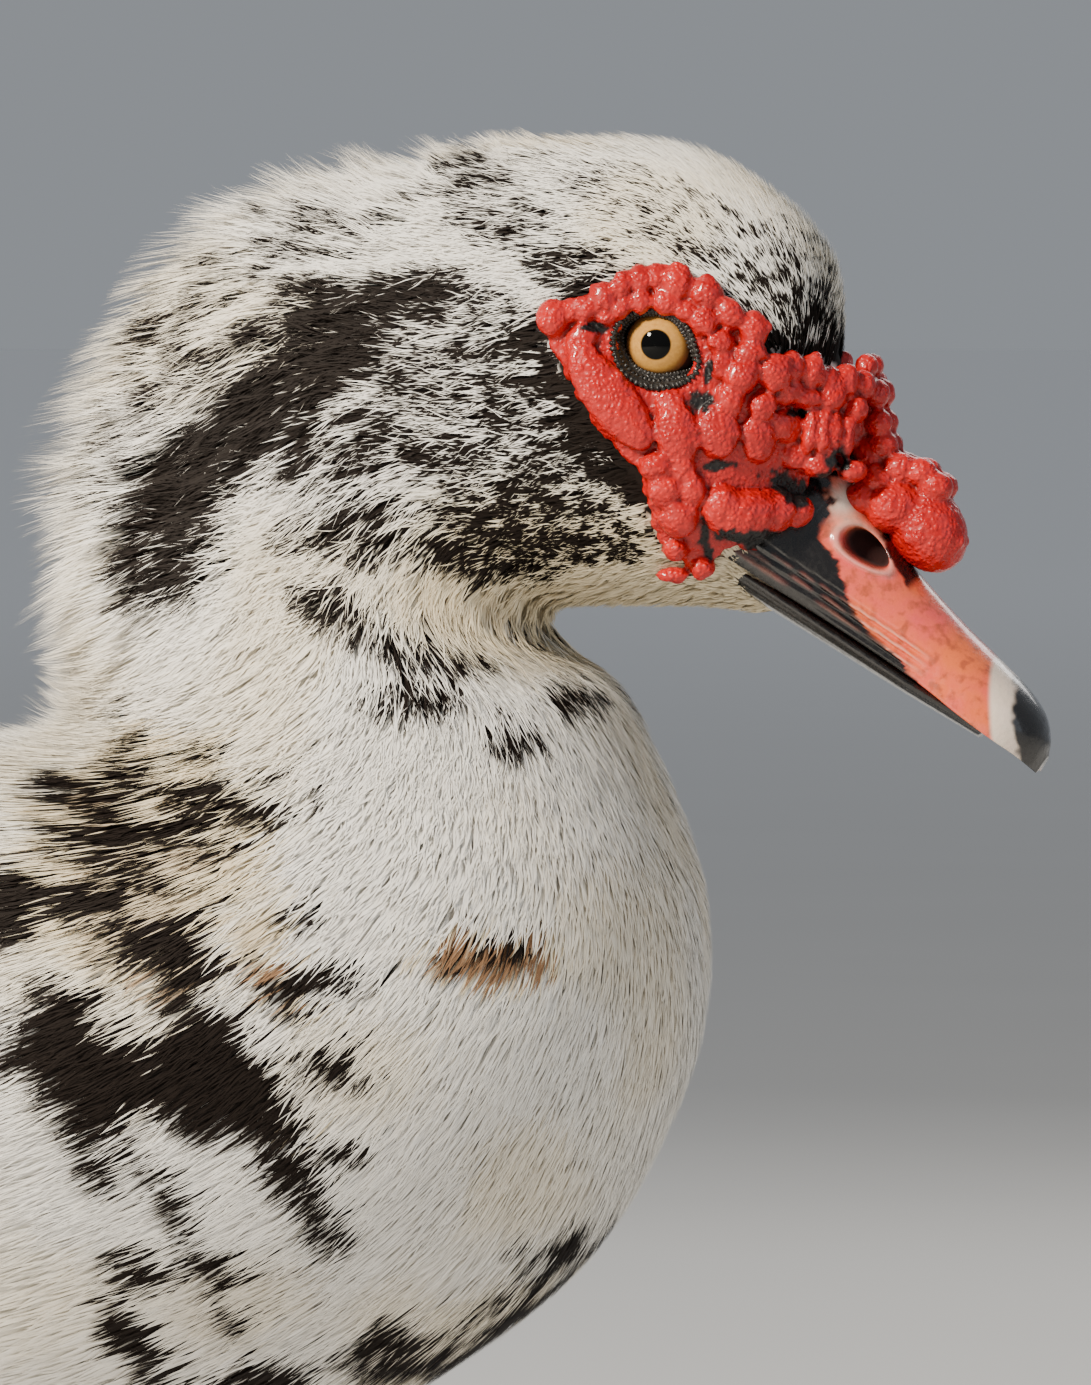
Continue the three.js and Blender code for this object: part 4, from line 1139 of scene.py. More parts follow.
class HackleLie(TrunkLie):
    """How the long pointed feathers of the nape lie over the rest."""

    back_lift = [(0, 0.2), (2.6, 1.6), (3.4, 3.6), (4.2, 6.0), (5.0, 7.5), (5.7, 6), (6.4, 2)]
    front_lift = [(0, 0.4), (14, 0.8)]


TRUNK_LIE = TrunkLie()
THIGH_LIE = ThighLie()
HACKLE_LIE = HackleLie()


@dataclass(frozen=True)
class CoatPart:
    """One part of the coat.

    Fields give its first and last stations, the room between feather roots, the strands in a
    feather, half its width, a strand's width, how many points it has along it, how far its strands
    draw together at the tip, how unruly they are, how unevenly the feathers lie, how far they are
    shaded like the body under them, its seed, the room between locks and how far each lock draws
    together and, for a half, its side.
    """

    name: str
    start: float
    end: float
    spacing: float
    strands: int
    spread: float
    width: float
    stations: int
    drawn: float
    unruly: float
    uneven: float
    soft: float
    seed: int
    lock: float = 0.0
    pull: float = 0.0
    side: int = 0


@dataclass
class Strands:
    """The strands of a coat part: where each one roots, and its feather's own random numbers."""

    t: Array
    phi: Array
    side: Array
    own: Array


@dataclass
class Growth:
    """How the strands of a coat part grow.

    Fields give their length and way, the body's length in one station and one radian at the root,
    where they head on the surface, how far their lock draws each on and aside, how far they reach
    the coat's surface, the lift of their tips, their roll, bend and width, where the dark on them
    ends and how warm they are.
    """

    length: Array
    way: Array
    pace: Array
    turn: Array
    cosine: Array
    sine: Array
    lock_on: Array
    lock_aside: Array
    level: Array
    lift: Array
    roll: Array
    bend: Array
    wide: Array
    ends: Array
    warm: Array


class Coat:
    """Feathers of fine strands over a body of rings."""

    def __init__(self, body: RingBody, lie: TrunkLie, part: CoatPart) -> None:
        """Keeps the body, how its coat lies and the part."""
        self.body = body
        self.lie = lie
        self.part = part
        self.random = np.random.default_rng(part.seed)

    def roots(self) -> Pair:
        """Spreads feather roots evenly over the part's own area."""
        part = self.part
        rows, columns = 96, 180
        t = np.linspace(part.start, part.end, rows)
        first_angle = 0.0 if part.side > 0 else -math.pi
        span = math.pi if part.side else FULL_TURN
        step = span / columns
        phi = first_angle + step * (np.arange(columns) + 0.5)
        tt, pp = crossed(t, phi)
        along, round_ = self.body.tangents(tt, pp)
        area = np.linalg.norm(np.cross(along, round_), axis=1).reshape(rows, columns)
        count = int(area.sum() * (t[1] - t[0]) * step / part.spacing**2)
        first, second = even_pairs(count, 0.5 + part.seed * 0.1)
        by_row = np.cumsum(area.sum(axis=1))
        row = np.interp(first, np.concatenate([[0], by_row / by_row[-1]]), np.arange(rows + 1) - 0.5)
        near = np.clip(np.round(row).astype(int), 0, rows - 1)
        share = np.cumsum(area, axis=1) / area.sum(axis=1, keepdims=True)
        column = np.clip((share[near] < second[:, None]).sum(axis=1), 0, columns - 1)
        station = np.clip(part.start + (part.end - part.start) * row / (rows - 1), part.start, part.end)
        return station, phi[column] + (self.random.random(count) - 0.5) * step

    def sown(self, wanted: Callable[[Array, Array, Array], Array]) -> Strands:
        """Sows the strands of the feathers that are wanted."""
        part, random = self.part, self.random
        t, phi = self.roots()
        keep = wanted(t, phi, self.body.bare(t, phi))
        t, phi = t[keep], phi[keep]
        place = np.linspace(-1, 1, part.strands)
        side = (place[None, :] + random.normal(0, 0.12, (len(t), part.strands))).ravel()
        own = np.repeat(random.random((len(t), 4)), part.strands, axis=0)
        return Strands(np.repeat(t, part.strands), np.repeat(phi, part.strands), side, own)

    def build(self, wanted: Callable[[Array, Array, Array], Array]) -> Form:
        """Builds the part.

        Args:
            wanted: Tells from stations, angles and places which feathers grow.

        Returns:
            The coat as one form.
        """
        sown = self.sown(wanted)
        growth = self.growth(sown)
        total = len(sown.t)
        edges, shading, shares = [], [], []
        for share in 1 - (1 - np.linspace(0, 1, self.part.stations)) ** 1.25:
            corners, facing = self.corners(sown, growth, share)
            edges += corners
            shading += [facing] * len(corners)
            shares += [share] * len(corners)
        points, shading = np.stack(edges, axis=1), np.stack(shading, axis=1)
        each = points.shape[1]
        triangles = [[k + 1, k, k + 2] if k % 2 else [k, k + 1, k + 2] for k in range(each - 2)]
        faces = (np.arange(total)[:, None, None] * each + np.array(triangles)[None]).reshape(-1, 3)
        vary = 0.5 + 0.5 * (sown.own[:, 3] - 0.5) + self.random.normal(0, 0.15, total)
        # share, the place along each strand, also sets the painted shade towards its root
        share = np.tile(np.array(shares), (total, 1))
        masks = {
            "mark": (1 - smooth_step(-0.12, 0.12, share - growth.ends[:, None])).ravel(),
            "warmth": np.repeat(growth.warm, each),
            "share": share.ravel(),
            "vary": np.repeat(np.clip(vary, 0, 1), each),
        }
        patches = self.patches(sown.t, sown.phi, share)
        return Form(points.reshape(-1, 3), [faces], masks, patches, shading.reshape(-1, 3))

    def growth(self, sown: Strands) -> Growth:
        """Finds how the sown strands grow."""
        part, random, body, lie = self.part, self.random, self.body, self.lie
        t, phi, side, own = sown.t, sown.phi, sown.side, sown.own
        total = len(t)
        length = lie.length(t, phi) * (0.8 + 0.35 * own[:, 0])
        uneven = 1 + part.unruly * 0.5 * (random.random(total) - 0.5)
        length *= (1 - 0.28 * np.abs(side) ** 1.6) * uneven
        along, round_ = body.tangents(t, phi)
        pace, turn = np.linalg.norm(along, axis=1), np.linalg.norm(round_, axis=1)
        blown, hanging = lie.blown(t, phi)[:, None], lie.hanging(t, phi)[:, None]
        ahead, across = unit(along), unit(round_)
        way = unit(ahead * (1 - blown - hanging) + BACKWARD * blown + DOWNWARD * hanging)
        heading = np.arctan2((way * across).sum(axis=1), (way * ahead).sum(axis=1))
        astray = random.normal(0, 0.14 * part.unruly, total)
        heading += (own[:, 1] - 0.5) * (0.14 + 0.35 * part.unruly) + astray
        cosine, sine = np.cos(heading), np.sin(heading)
        seen_t = np.clip(t + SEEN_AT * length * cosine / pace, 0, body.last)
        seen_phi = phi + SEEN_AT * length * sine / turn
        dark, warm = lie.marks(body.bare(seen_t, seen_phi), seen_t, seen_phi)
        home = body.bare(t, phi)
        ends = self.feather_marks(dark, home, sown)
        tipped = (ends > 0.15) & (ends < 0.95)
        to_lock = self.to_lock(home)
        way_on, way_aside = cosine[:, None], sine[:, None]
        out = np.maximum(0, (way * np.cross(across, ahead)).sum(axis=1)) * blown[:, 0]
        level = 1 - (1 - own[:, 2]) * part.uneven - 0.05 * side**2 + 0.1 * tipped
        lift = lie.lift(t, phi) * (0.5 + own[:, 3]) * (1 + 0.5 * tipped) + 0.4 * out * length
        return Growth(
            length, way, pace, turn, cosine, sine,
            lock_on=(to_lock * (ahead * way_on + across * way_aside)).sum(axis=1),
            lock_aside=(to_lock * (across * way_on - ahead * way_aside)).sum(axis=1),
            level=np.clip(level, 0.4, 1.05),
            lift=lift,
            roll=(random.normal(0, 0.35 * part.unruly, total) + 0.25 * side) * (1.2 - part.soft),
            bend=random.normal(0, 0.25 * part.unruly, total),
            wide=part.width * (0.8 + 0.4 * random.random(total)),
            ends=ends,
            warm=warm,
        )  # fmt: skip

    def corners(self, sown: Strands, growth: Growth, share: float) -> tuple[list[Array], Array]:
        """Finds one cross-section of every strand.

        Args:
            sown: The strands.
            growth: How they grow.
            share: Where the section is along them.

        Returns:
            Both edges of each strand there, or its tip alone, and the way it faces.
        """
        part, body, lie = self.part, self.body, self.lie
        reach = share * growth.length + growth.lock_on * share**1.5
        spread = part.spread * (0.5 + 0.5 * math.sin(math.pi * min(1.0, 0.1 + 0.6 * share)))
        aside = spread * sown.side * (1 - part.drawn * share**2) + growth.bend * reach * share
        aside = aside + growth.lock_aside * share**1.5
        t = sown.t + (reach * growth.cosine - aside * growth.sine) / growth.pace
        phi = sown.phi + (reach * growth.sine + aside * growth.cosine) / growth.turn
        t = np.clip(t, 0, body.last - END_ROOM)
        height = -lie.depth(t, phi) * (1 - share**0.75 * growth.level) + growth.lift * share**1.6
        height = height + lie.swell(t, phi)
        normal = body.normal(t, phi)
        at = body.bare(t, phi) + normal * height[:, None]
        beside = unit(np.cross(growth.way, normal))
        beside = beside * np.cos(growth.roll)[:, None] + normal * np.sin(growth.roll)[:, None]
        facing = unit(normal * part.soft + np.cross(beside, growth.way) * (1 - part.soft))
        half = growth.wide / 2 * (0.75 + 0.25 * math.sin(math.pi * share)) * (1 - share**3)
        if share < 1:
            return [at - beside * half[:, None], at + beside * half[:, None]], facing
        return [at], facing

    def patches(self, t: Array, phi: Array, share: Array) -> Array:
        """Each strand's patch on the map, at its root's place on an unwrap of the skin."""
        part = self.part
        span = math.pi if part.side else FULL_TURN
        round_share = (phi - (0.0 if part.side > 0 else -math.pi)) / span
        u = 0.01 + 0.98 * np.clip(round_share, 0, 1)
        v = 0.01 + 0.975 * (t - part.start) / (part.end - part.start)
        each = share.shape[1]
        shift = np.tile([-0.5, 0.5], each)[:each] * 0.5 * MAP_PATCH
        return np.stack([u[:, None] + shift, v[:, None] + share * MAP_PATCH], axis=2).reshape(-1, 2)

    def to_lock(self, home: Array) -> Array:
        """The way from each root to its lock's middle, by how far the lock draws together."""
        part = self.part
        if not part.lock:
            return np.zeros_like(home)
        coarse = Coat(self.body, self.lie, replace(part, spacing=part.lock, seed=part.seed + 40))
        middles = self.body.bare(*coarse.roots())
        nearest = [
            ((block[:, None] - middles[None]) ** 2).sum(axis=2).argmin(axis=1)
            for block in np.array_split(home[:: part.strands], 60)
        ]
        found = np.repeat(middles[np.concatenate(nearest)], part.strands, axis=0)
        return (found - home) * part.pull

    def feather_marks(self, dark: Array, home: Array, sown: Strands) -> Array:
        """Turns how dark a place is into how far along each strand the dark reaches.

        Args:
            dark: How dark the coat is at each root.
            home: The roots.
            sown: The strands.

        Returns:
            Where the dark ends and the pale tip starts, as a share of the strand.
        """
        head = self.lie.on_head(sown.t)
        lie = np.stack([sown.t * 4.5, sown.phi * 26, np.zeros(len(dark))], axis=1)
        streak = noise(lie, 1.0, Field.STREAK) * 0.65 + noise(lie, 0.4, Field.FINE_STREAK) * 0.35
        streak = np.clip((streak - 0.5) * 1.7 + 0.5, 0, 1)
        feather = sown.own[:, 0] * 0.5 + sown.own[:, 2] * 0.5
        cluster = np.clip((noise(home, 5.0, Field.CLUSTER) - 0.5) * 1.6 + 0.5, 0, 1)
        on_body = cluster * 0.4 + feather * 0.22 + 0.1
        on_head = streak * 0.45 + sown.own[:, 0] * 0.55
        level = np.clip(dark, 0, 1)
        tip = 1.2 * (1 - level) ** 3 + 0.02 - 1.4 * np.maximum(0, dark - 0.9)
        tip += (on_head - 0.5) * (0.75 + 1.2 * level * (1 - level))
        whole = smooth_step(-0.07, 0.07, dark - on_body)
        return np.where(head > 0.5, 1 - tip, whole * 1.5 - 0.3)


def halves(part: CoatPart) -> tuple[CoatPart, CoatPart]:
    """A part's left and right halves."""
    left = replace(part, name=part.name + "_left", side=1)
    return left, replace(part, name=part.name + "_right", side=-1, seed=part.seed + 20)


@dataclass
class BodyCoat:
    """The skin and all the small feathers over it."""

    socket_reach: float = 11.0
    socket_depth: float = 9.0
    parts: tuple[CoatPart, ...] = (
        *halves(CoatPart(
            "head_coat", start=0.05, end=3.6, spacing=1.3, strands=5, spread=0.95, width=0.4,
            stations=4, drawn=0.6, unruly=0.5, uneven=0.3, soft=0.35, seed=1, lock=3.0, pull=0.5,
        )),
        *halves(CoatPart(
            "neck_coat", start=3.6, end=6.4, spacing=1.8, strands=7, spread=1.5, width=0.46, stations=4,
            drawn=0.7, unruly=0.45, uneven=0.3, soft=0.4, seed=2, lock=4.5, pull=0.6,
        )),
        *halves(CoatPart(
            "breast_coat", start=6.4, end=9.2, spacing=3.1, strands=13, spread=3.5, width=0.66,
            stations=4, drawn=0.12, unruly=0.3, uneven=0.05, soft=0.93, seed=3,
        )),
        *halves(CoatPart(
            "body_coat", start=9.2, end=13.9, spacing=4.6, strands=11, spread=5.4, width=1.5,
            stations=3, drawn=0.1, unruly=0.3, uneven=0.06, soft=0.9, seed=4,
        )),
    )
    hackles: CoatPart = CoatPart(
        "hackles", start=2.4, end=5.8, spacing=2.8, strands=12, spread=1.6, width=0.5, stations=4,
        drawn=0.9, unruly=0.25, uneven=0.16, soft=0.35, seed=7, lock=7.5, pull=0.85,
    )
    thigh_part: CoatPart = CoatPart(
        "thigh_coat", start=0.6, end=3.95, spacing=2.6, strands=8, spread=2.4, width=0.8, stations=4,
        drawn=0.3, unruly=0.6, uneven=0.3, soft=0.5, seed=9,
    )
    finish: PlumageFinish = PlumageFinish(
        name="body_plumage",
        pale=rgb(0.86, 0.84, 0.79),
        dark=rgb(0.013, 0.009, 0.007),
        warm=rgb(0.27, 0.15, 0.08),
        roughness=0.8,
        gloss=0.1,
    )

    def skin(self) -> Form:
        """The one skin under the coat of head, neck and torso."""
        rings, count = 220, 128
        t = np.linspace(0, TAIL_ROOT, rings)
        phi = all_round(count)
        tt, pp = crossed(t, phi)
        bare = trunk.bare(tt, pp)
        near_eye = np.hypot(bare[:, 0] - EYE_AT[0], bare[:, 2] - EYE_AT[2]) / self.socket_reach
        socket = smooth_step(1.0, 0.4, near_eye) * (np.abs(bare[:, 1]) > 14) * self.socket_depth
        points = trunk.point(tt, pp, -TRUNK_LIE.depth(tt, pp) + TRUNK_LIE.swell(tt, pp) * 0.6 - socket)
        form = grid(points.reshape(rings, count, 3), closed=True)
        dark, warm = markings(bare, tt, pp)
        dark = np.maximum(dark, inside(bare[:, 0], bare[:, 2], MASK_OUTLINE))
        # share 0.35 darkens the skin a little, like a feather's root, as painted shade under the coat
        form.masks = plain_masks(len(form.points), 0.5, 0.5, 0.35, 0.5)
        form.masks["mark"][: len(points)] = dark
        form.masks["warmth"][: len(points)] = warm
        return form

    def grows(self, t: Array, phi: Array, at: Array) -> Array:
        """Tells where small feathers grow: not on the bare face, nor under the wings."""
        x, _, z = at.T
        bare = inside(x, z, MASK_OUTLINE)
        share, turned = (t - WING.front) / (TAIL_ROOT - WING.front), turned_from_back(phi)
        top, low = wing_edges(share)
        covered = (share > 0.2) & (turned > top + 0.18) & (turned < low - 0.18)
        return ~bare & ~covered

    def on_nape(self, t: Array, phi: Array, at: Array) -> Array:
        """Tells where the long feathers of the nape grow."""
        return turned_from_back(phi) < np.interp(t, [2.6, 3.4, 5.0, 5.7], [0.4, 1.2, 1.35, 0.7])

    def build(self, bench: Bench, groups: Groups) -> None:
        """Builds and lays the skin and the coat."""
        material = self.finish.material(groups)
        leg = Leg()
        skin = joined([self.skin(), *(leg.thigh(side) for side in (1, -1))])
        nodes = ("head", "neck", "torso", "thigh_left", "thigh_right")
        bench.lay("skin", skin, Slot.BODY, material, nodes)
        for part in self.parts:
            form = Coat(trunk, TRUNK_LIE, part).build(self.grows)
            bench.lay(part.name, form, Slot.BODY, material)
        form = Coat(trunk, HACKLE_LIE, self.hackles).build(self.on_nape)
        bench.lay(self.hackles.name, form, Slot.BODY, material)
        thigh = Coat(RingBody(leg.thigh_rows()), THIGH_LIE, self.thigh_part)
        form = thigh.build(lambda t, phi, at: np.full(len(t), True))
        for side, sign in SIDES:
            bench.lay(f"thigh_coat_{side}", leg.moved(form, sign), Slot.BODY, material)


# Wings and tail


def vane(
    path: Callable[[Array], Pair],
    outline: list[tuple[float, float]],
    length: float,
    width: float,
    roll: float,
    marks: Callable[[Array, Array], Array],
    random: np.random.Generator,
    patch: tuple[float, float, float, float],
) -> Form:
    """A feather: a shaft with barbs to both sides, frayed a little at its edge.

    Args:
        path: Gives the shaft's points and the way up at shares of its length.
        outline: The feather's width at shares of its length, as shares of its width.
        length: Its length.
        width: Its full width.
        roll: How far it turns about its shaft.
        marks: How dark it is at a share of its length and of its half width.
        random: Where its small differences come from.
        patch: Its place on the map, as left, bottom, width and height.

    Returns:
        The feather as one form.
    """
    rows = max(16, int(length))
    columns = np.array([-1, -0.78, -0.4, -0.05, 0.05, 0.4, 0.78, 1])
    share = np.linspace(0, 0.985, rows)[:, None]
    sweep = 0.34 * width / length
    jitter = random.normal(0, 0.2, (rows, len(columns))) * np.abs(columns) ** 3
    swept = share + sweep * np.abs(columns) ** 1.4 * (1 - share)
    flat = np.minimum(swept + jitter * 0.8 / length, 1.02).ravel()
    at, up = path(flat)
    ahead, _ = path(flat + 0.02)
    along = unit(ahead - at)
    across = unit(np.cross(along, up))
    lift = np.cross(across, along)
    turned = across * math.cos(roll) + lift * math.sin(roll)
    half = width / 2 * between(outline, share.ravel())[:, None]
    half = half * (1 + random.normal(0, 0.035, (rows, 1)))
    aside = (half * columns).ravel()
    shaft = np.abs(np.tile(columns, (rows, 1))).ravel()
    rise = 0.35 * (shaft < 0.1) - 0.9 * shaft**2 * (half / (width / 2) * np.ones_like(columns)).ravel()
    points = at + turned * aside[:, None] + lift * rise[:, None]
    form = grid(points.reshape(rows, len(columns), 3))
    column = np.tile(columns, (rows, 1)).ravel()
    barb = np.repeat(random.random(rows), len(columns))
    # share runs from 0.55 at the root, so each vane is darkened a little there as painted shade
    form.masks = {
        "mark": marks(flat, column),
        "warmth": np.full(len(points), 0.12),
        "share": np.clip(0.55 + flat * 0.5, 0, 1),
        "vary": np.where(shaft < 0.1, 0.9, 0.25 + 0.5 * barb),
    }
    left, bottom, wide, high = patch
    u, v = left + wide * (column + 1) / 2, bottom + high * np.clip(flat, 0, 1)
    form.patches = np.stack([u, v], axis=1)
    return form


VANE_OUTLINE = [
    (0, 0.15), (0.08, 0.6), (0.2, 0.86), (0.4, 0.97), (0.65, 1), (0.82, 0.9), (0.92, 0.66), (0.97, 0.4),
    (1, 0.12),
]  # fmt: skip
COVERT_OUTLINE = [(0, 0.12), (0.12, 0.6), (0.32, 0.92), (0.6, 1), (0.8, 0.92), (0.92, 0.66), (1, 0.2)]


@dataclass(frozen=True)
class Tier:
    """A tier of vanes, from its lowest to its highest.

    Fields give where its first and last vanes root and end, as shares of the wing's length and of
    its height, their width, the lift of roots and tips, and how much each further vane is lifted.
    """

    name: str
    count: int
    roots: tuple
    tips: tuple
    width: float
    lift: tuple[float, float]
    step: float
    dark: float


TIERS = (
    Tier(
        "primaries", 8, roots=((0.56, 0.76), (0.56, 0.5)), tips=((0.88, 0.86), (1, 0.42)),
        width=14, lift=(0.8, 2.2), step=0.45, dark=0.9,
    ),
    Tier(
        "secondaries", 11, roots=((0.3, 0.86), (0.46, 0.44)), tips=((0.6, 0.98), (0.86, 0.52)),
        width=15, lift=(0.8, 4.2), step=0.25, dark=0.95,
    ),
    Tier(
        "tertials", 5, roots=((0.4, 0.38), (0.4, 0.14)), tips=((0.86, 0.38), (0.82, 0.1)),
        width=20, lift=(0.8, 6.2), step=0.3, dark=0.95,
    ),
    Tier(
        "greater_coverts", 13, roots=((0.2, 0.87), (0.34, 0.42)), tips=((0.45, 0.96), (0.6, 0.5)),
        width=14, lift=(0.8, 6.6), step=0.17, dark=0.9,
    ),
    Tier(
        "median_coverts", 13, roots=((0.12, 0.83), (0.25, 0.4)), tips=((0.34, 0.92), (0.46, 0.44)),
        width=14, lift=(0.8, 7.2), step=0.15, dark=0.3,
    ),
    Tier(
        "lesser_coverts", 13, roots=((0.1, 0.82), (0.18, 0.36)), tips=((0.25, 0.9), (0.36, 0.4)),
        width=13, lift=(-3.0, 7.4), step=0.13, dark=0.15,
    ),
    Tier(
        "front_coverts", 14, roots=((0.1, 0.8), (0.14, 0.2)), tips=((0.2, 0.86), (0.3, 0.3)),
        width=12, lift=(-4.5, 6.6), step=0.05, dark=0.12,
    ),
    Tier(
        "scapulars", 8, roots=((0.09, 0.28), (0.22, 0.05)), tips=((0.4, 0.27), (0.58, 0.06)),
        width=18, lift=(-2.5, 8.0), step=0.25, dark=0.9,
    ),
)  # fmt: skip


@dataclass
class Wing:
    """A folded wing: its covert-clad body and its feathers in tiers."""

    seed: int = 100
    finish: PlumageFinish = PlumageFinish(
        name="flight_plumage",
        pale=rgb(0.78, 0.76, 0.71),
        dark=rgb(0.008, 0.0095, 0.009),
        warm=rgb(0.3, 0.2, 0.13),
        roughness=0.55,
        gloss=0.3,
    )

    def core(self) -> Form:
        """The wing's body under its feathers."""
        rows, columns = 40, 24
        share = np.linspace(0.09, WING.core_end, rows)
        down = np.linspace(0, 1, columns)
        ss, dd = crossed(share, down)
        full = np.sqrt(np.sin(np.pi * np.clip(dd, 0, 1))) * smooth_step(0.09, 0.3, ss)
        thick = 0.4 + WING.thick * full * (1 - 0.7 * (ss / WING.core_end) ** 2)
        outer = sheath.point(*wing_spot(ss, dd), thick).reshape(rows, columns, 3)
        inner = sheath.point(*wing_spot(ss, dd), -2.0).reshape(rows, columns, 3)
        form = grid(np.concatenate([outer, inner[:, ::-1]], axis=1), closed=True)
        size = len(form.points)
        # share 0.3 darkens the wing's body a little, like a feather's root, as painted shade under its
        # feathers
        form.masks = plain_masks(size, 0.8, 0.0, 0.3, 0.5)
        form.patches = np.tile([0.97, 0.97], (size, 1))
        return form

    def tier(self, tier: Tier, row: int, seed: int) -> list[Form]:
        """Builds the vanes of one tier."""
        random = np.random.default_rng(seed)
        made = []
        for i in range(tier.count):
            place = i / (tier.count - 1)
            root, tip = (
                np.array(ends[0]) + (np.array(ends[1]) - np.array(ends[0])) * place
                for ends in (tier.roots, tier.tips)
            )
            tip = tip + random.normal(0, 0.006, 2)
            high = tier.lift[1] - tier.lift[0] + tier.step * i

            def path(share: Array) -> Pair:
                """The vane's shaft on the wing."""
                t, phi = wing_spot(*(root[k] + (tip[k] - root[k]) * share for k in (0, 1)))
                rise = tier.lift[0] + high * np.minimum(1, share / 0.3)
                return sheath.point(t, phi, rise), sheath.normal(t, phi)

            ends = path(np.array([0.0, 1.0]))[0]
            length = float(np.linalg.norm(ends[1] - ends[0]))
            dark = 1.0 if random.random() < tier.dark else 0.0
            fringe = 0.25 + 0.24 * random.random()
            spots = 0.35 * random.random() ** 2

            def marks(share: Array, across: Array) -> Array:
                """Dark or pale, with a pale edge on some, a grey rim of painted shade on the pale ones
                and specks of the other.
                """
                edge = smooth_step(0.8, 1.0, np.abs(across)) + smooth_step(0.9, 0.98, share)
                flat = np.stack([share * 26, across * 3.5, np.full(len(share), i * 5.0)], axis=1)
                other = smooth_step(0.64, 0.72, noise(flat, 1.0, seed)) * spots
                # painted shade: pale feathers get a grey rim, standing in for the shade between
                # overlapping feathers
                rim = 0.5 * smooth_step(0.8, 1.0, np.abs(across)) + other
                return np.clip(dark * (1 - fringe * edge - other) + (1 - dark) * rim, 0, 1)

            outline = VANE_OUTLINE if length > 60 else COVERT_OUTLINE
            patch = (0.01 + 0.94 * i / tier.count, 0.01 + 0.115 * row, 0.9 / tier.count, 0.105)
            made.append(vane(path, outline, length, tier.width, WING.roll, marks, random, patch))
        return made

    def build(self, bench: Bench, material: bpy.types.Material) -> None:
        """Builds and lays both wings."""
        for side, sign in SIDES:
            forms = [self.core()]
            for row, tier in enumerate(TIERS):
                forms += self.tier(tier, row, self.seed + row * 7 + sign)
            form = joined(forms).on_side(sign)
            bench.lay(f"wing_feathers_{side}", form, Slot.FLIGHT, material, (f"wing_{side}",))


@dataclass
class Tail:
    """The tail's feathers and coverts, fanned a little."""

    x: float = -186
    z: float = 172
    half_root: float = 15
    length: float = 104
    outer: float = 82
    rise: float = 0.07
    step: float = 0.5
    seed: int = 300

    def feathers(
        self, row: int, count: int, reach: float, spread: float, level: float, width: float
    ) -> list[Form]:
        """Builds one tier of the tail.

        Args:
            row: The tier's number, from the lowest.
            count: How many feathers it has.
            reach: Their length, as a share of the tail's.
            spread: How far the outermost turns out, in degrees.
            level: How high the tier lies over the tail's middle.
            width: The width of a feather.

        Returns:
            The feathers.
        """
        random = np.random.default_rng(self.seed + row)
        made = []
        for i in range(count):
            side = i / (count - 1) * 2 - 1
            angle = math.radians(side * spread)
            long = (self.length + (self.outer - self.length) * side**2) * reach
            drop = (abs(2 * i + 1 - count) + (1 if side > 0 else 0)) * self.step

            def path(share: Array) -> Pair:
                """The shaft of a tail feather."""
                out = share * long
                x = self.x + 6 - math.cos(angle) * out
                y = side * self.half_root + math.sin(angle) * out
                z = self.z + level * (1 - 0.6 * share) + self.rise * out - drop
                return np.stack([x, y, z], axis=1), np.tile(UP, (len(x), 1))

            white = 0.0 if random.random() < 0.3 else 1.0

            def marks(share: Array, across: Array) -> Array:
                """Dark with a pale tip on some."""
                return white * (1 - 0.9 * smooth_step(0.88, 0.97, share))

            outline = VANE_OUTLINE if reach > 0.8 else COVERT_OUTLINE
            patch = (0.01 + 0.97 * i / count, 0.02 + 0.32 * row, 0.9 / count, 0.3)
            made.append(vane(path, outline, long, width, side * -0.04, marks, random, patch))
        return made

    def stub(self) -> Form:
        """The root of the tail under its coverts."""
        count = 40
        phi = all_round(count)
        rings = [trunk.bare(np.full(count, TAIL_ROOT - 0.05), phi)]
        for x, half, high in ((self.x - 4, 22.0, 8.0), (-200.0, 17.0, 3.5)):
            y, z = np.sin(phi) * half, self.z + np.cos(phi) * high
            rings.append(np.stack([np.full(count, x), y, z], axis=1))
        form = grid(np.stack(rings), closed=True)
        size = len(form.points)
        # share 0.3 darkens the tail's root a little, like a feather's root, as painted shade under its
        # coverts
        form.masks = plain_masks(size, 0.9, 0.0, 0.3, 0.5)
        form.patches = np.tile([0.99, 0.99], (size, 1))
        return form

    def build(self, bench: Bench, material: bpy.types.Material) -> None:
        """Builds and lays the tail."""
        under = self.feathers(0, count=6, reach=0.5, spread=15, level=-4.6, width=22)
        long = self.feathers(1, count=14, reach=1.0, spread=21, level=0, width=22)
        over = self.feathers(2, count=8, reach=0.46, spread=16, level=4.8, width=20)
        form = joined([self.stub(), *under, *long, *over])
        bench.lay("tail_feathers", form, Slot.FLIGHT, material, ("tail",))


# Head: bare red skin, eyes, lids and bill


def axes(row: Array, out: Array) -> Array:
    """Three square directions: the row's, the side's and the way out."""
    out = unit(out)
    row = unit(row - out * np.dot(row, out))
    return np.stack([row, np.cross(out, row), out])


def ball_ways(tilt: Array, turn: Array) -> Pair:
    """Each tilt from a ball's axis, and the direction at each tilt and turn."""
    tt, aa = np.meshgrid(tilt, turn, indexing="ij")
    return tt, np.stack([np.sin(tt) * np.cos(aa), np.sin(tt) * np.sin(aa), np.cos(tt)], axis=-1)


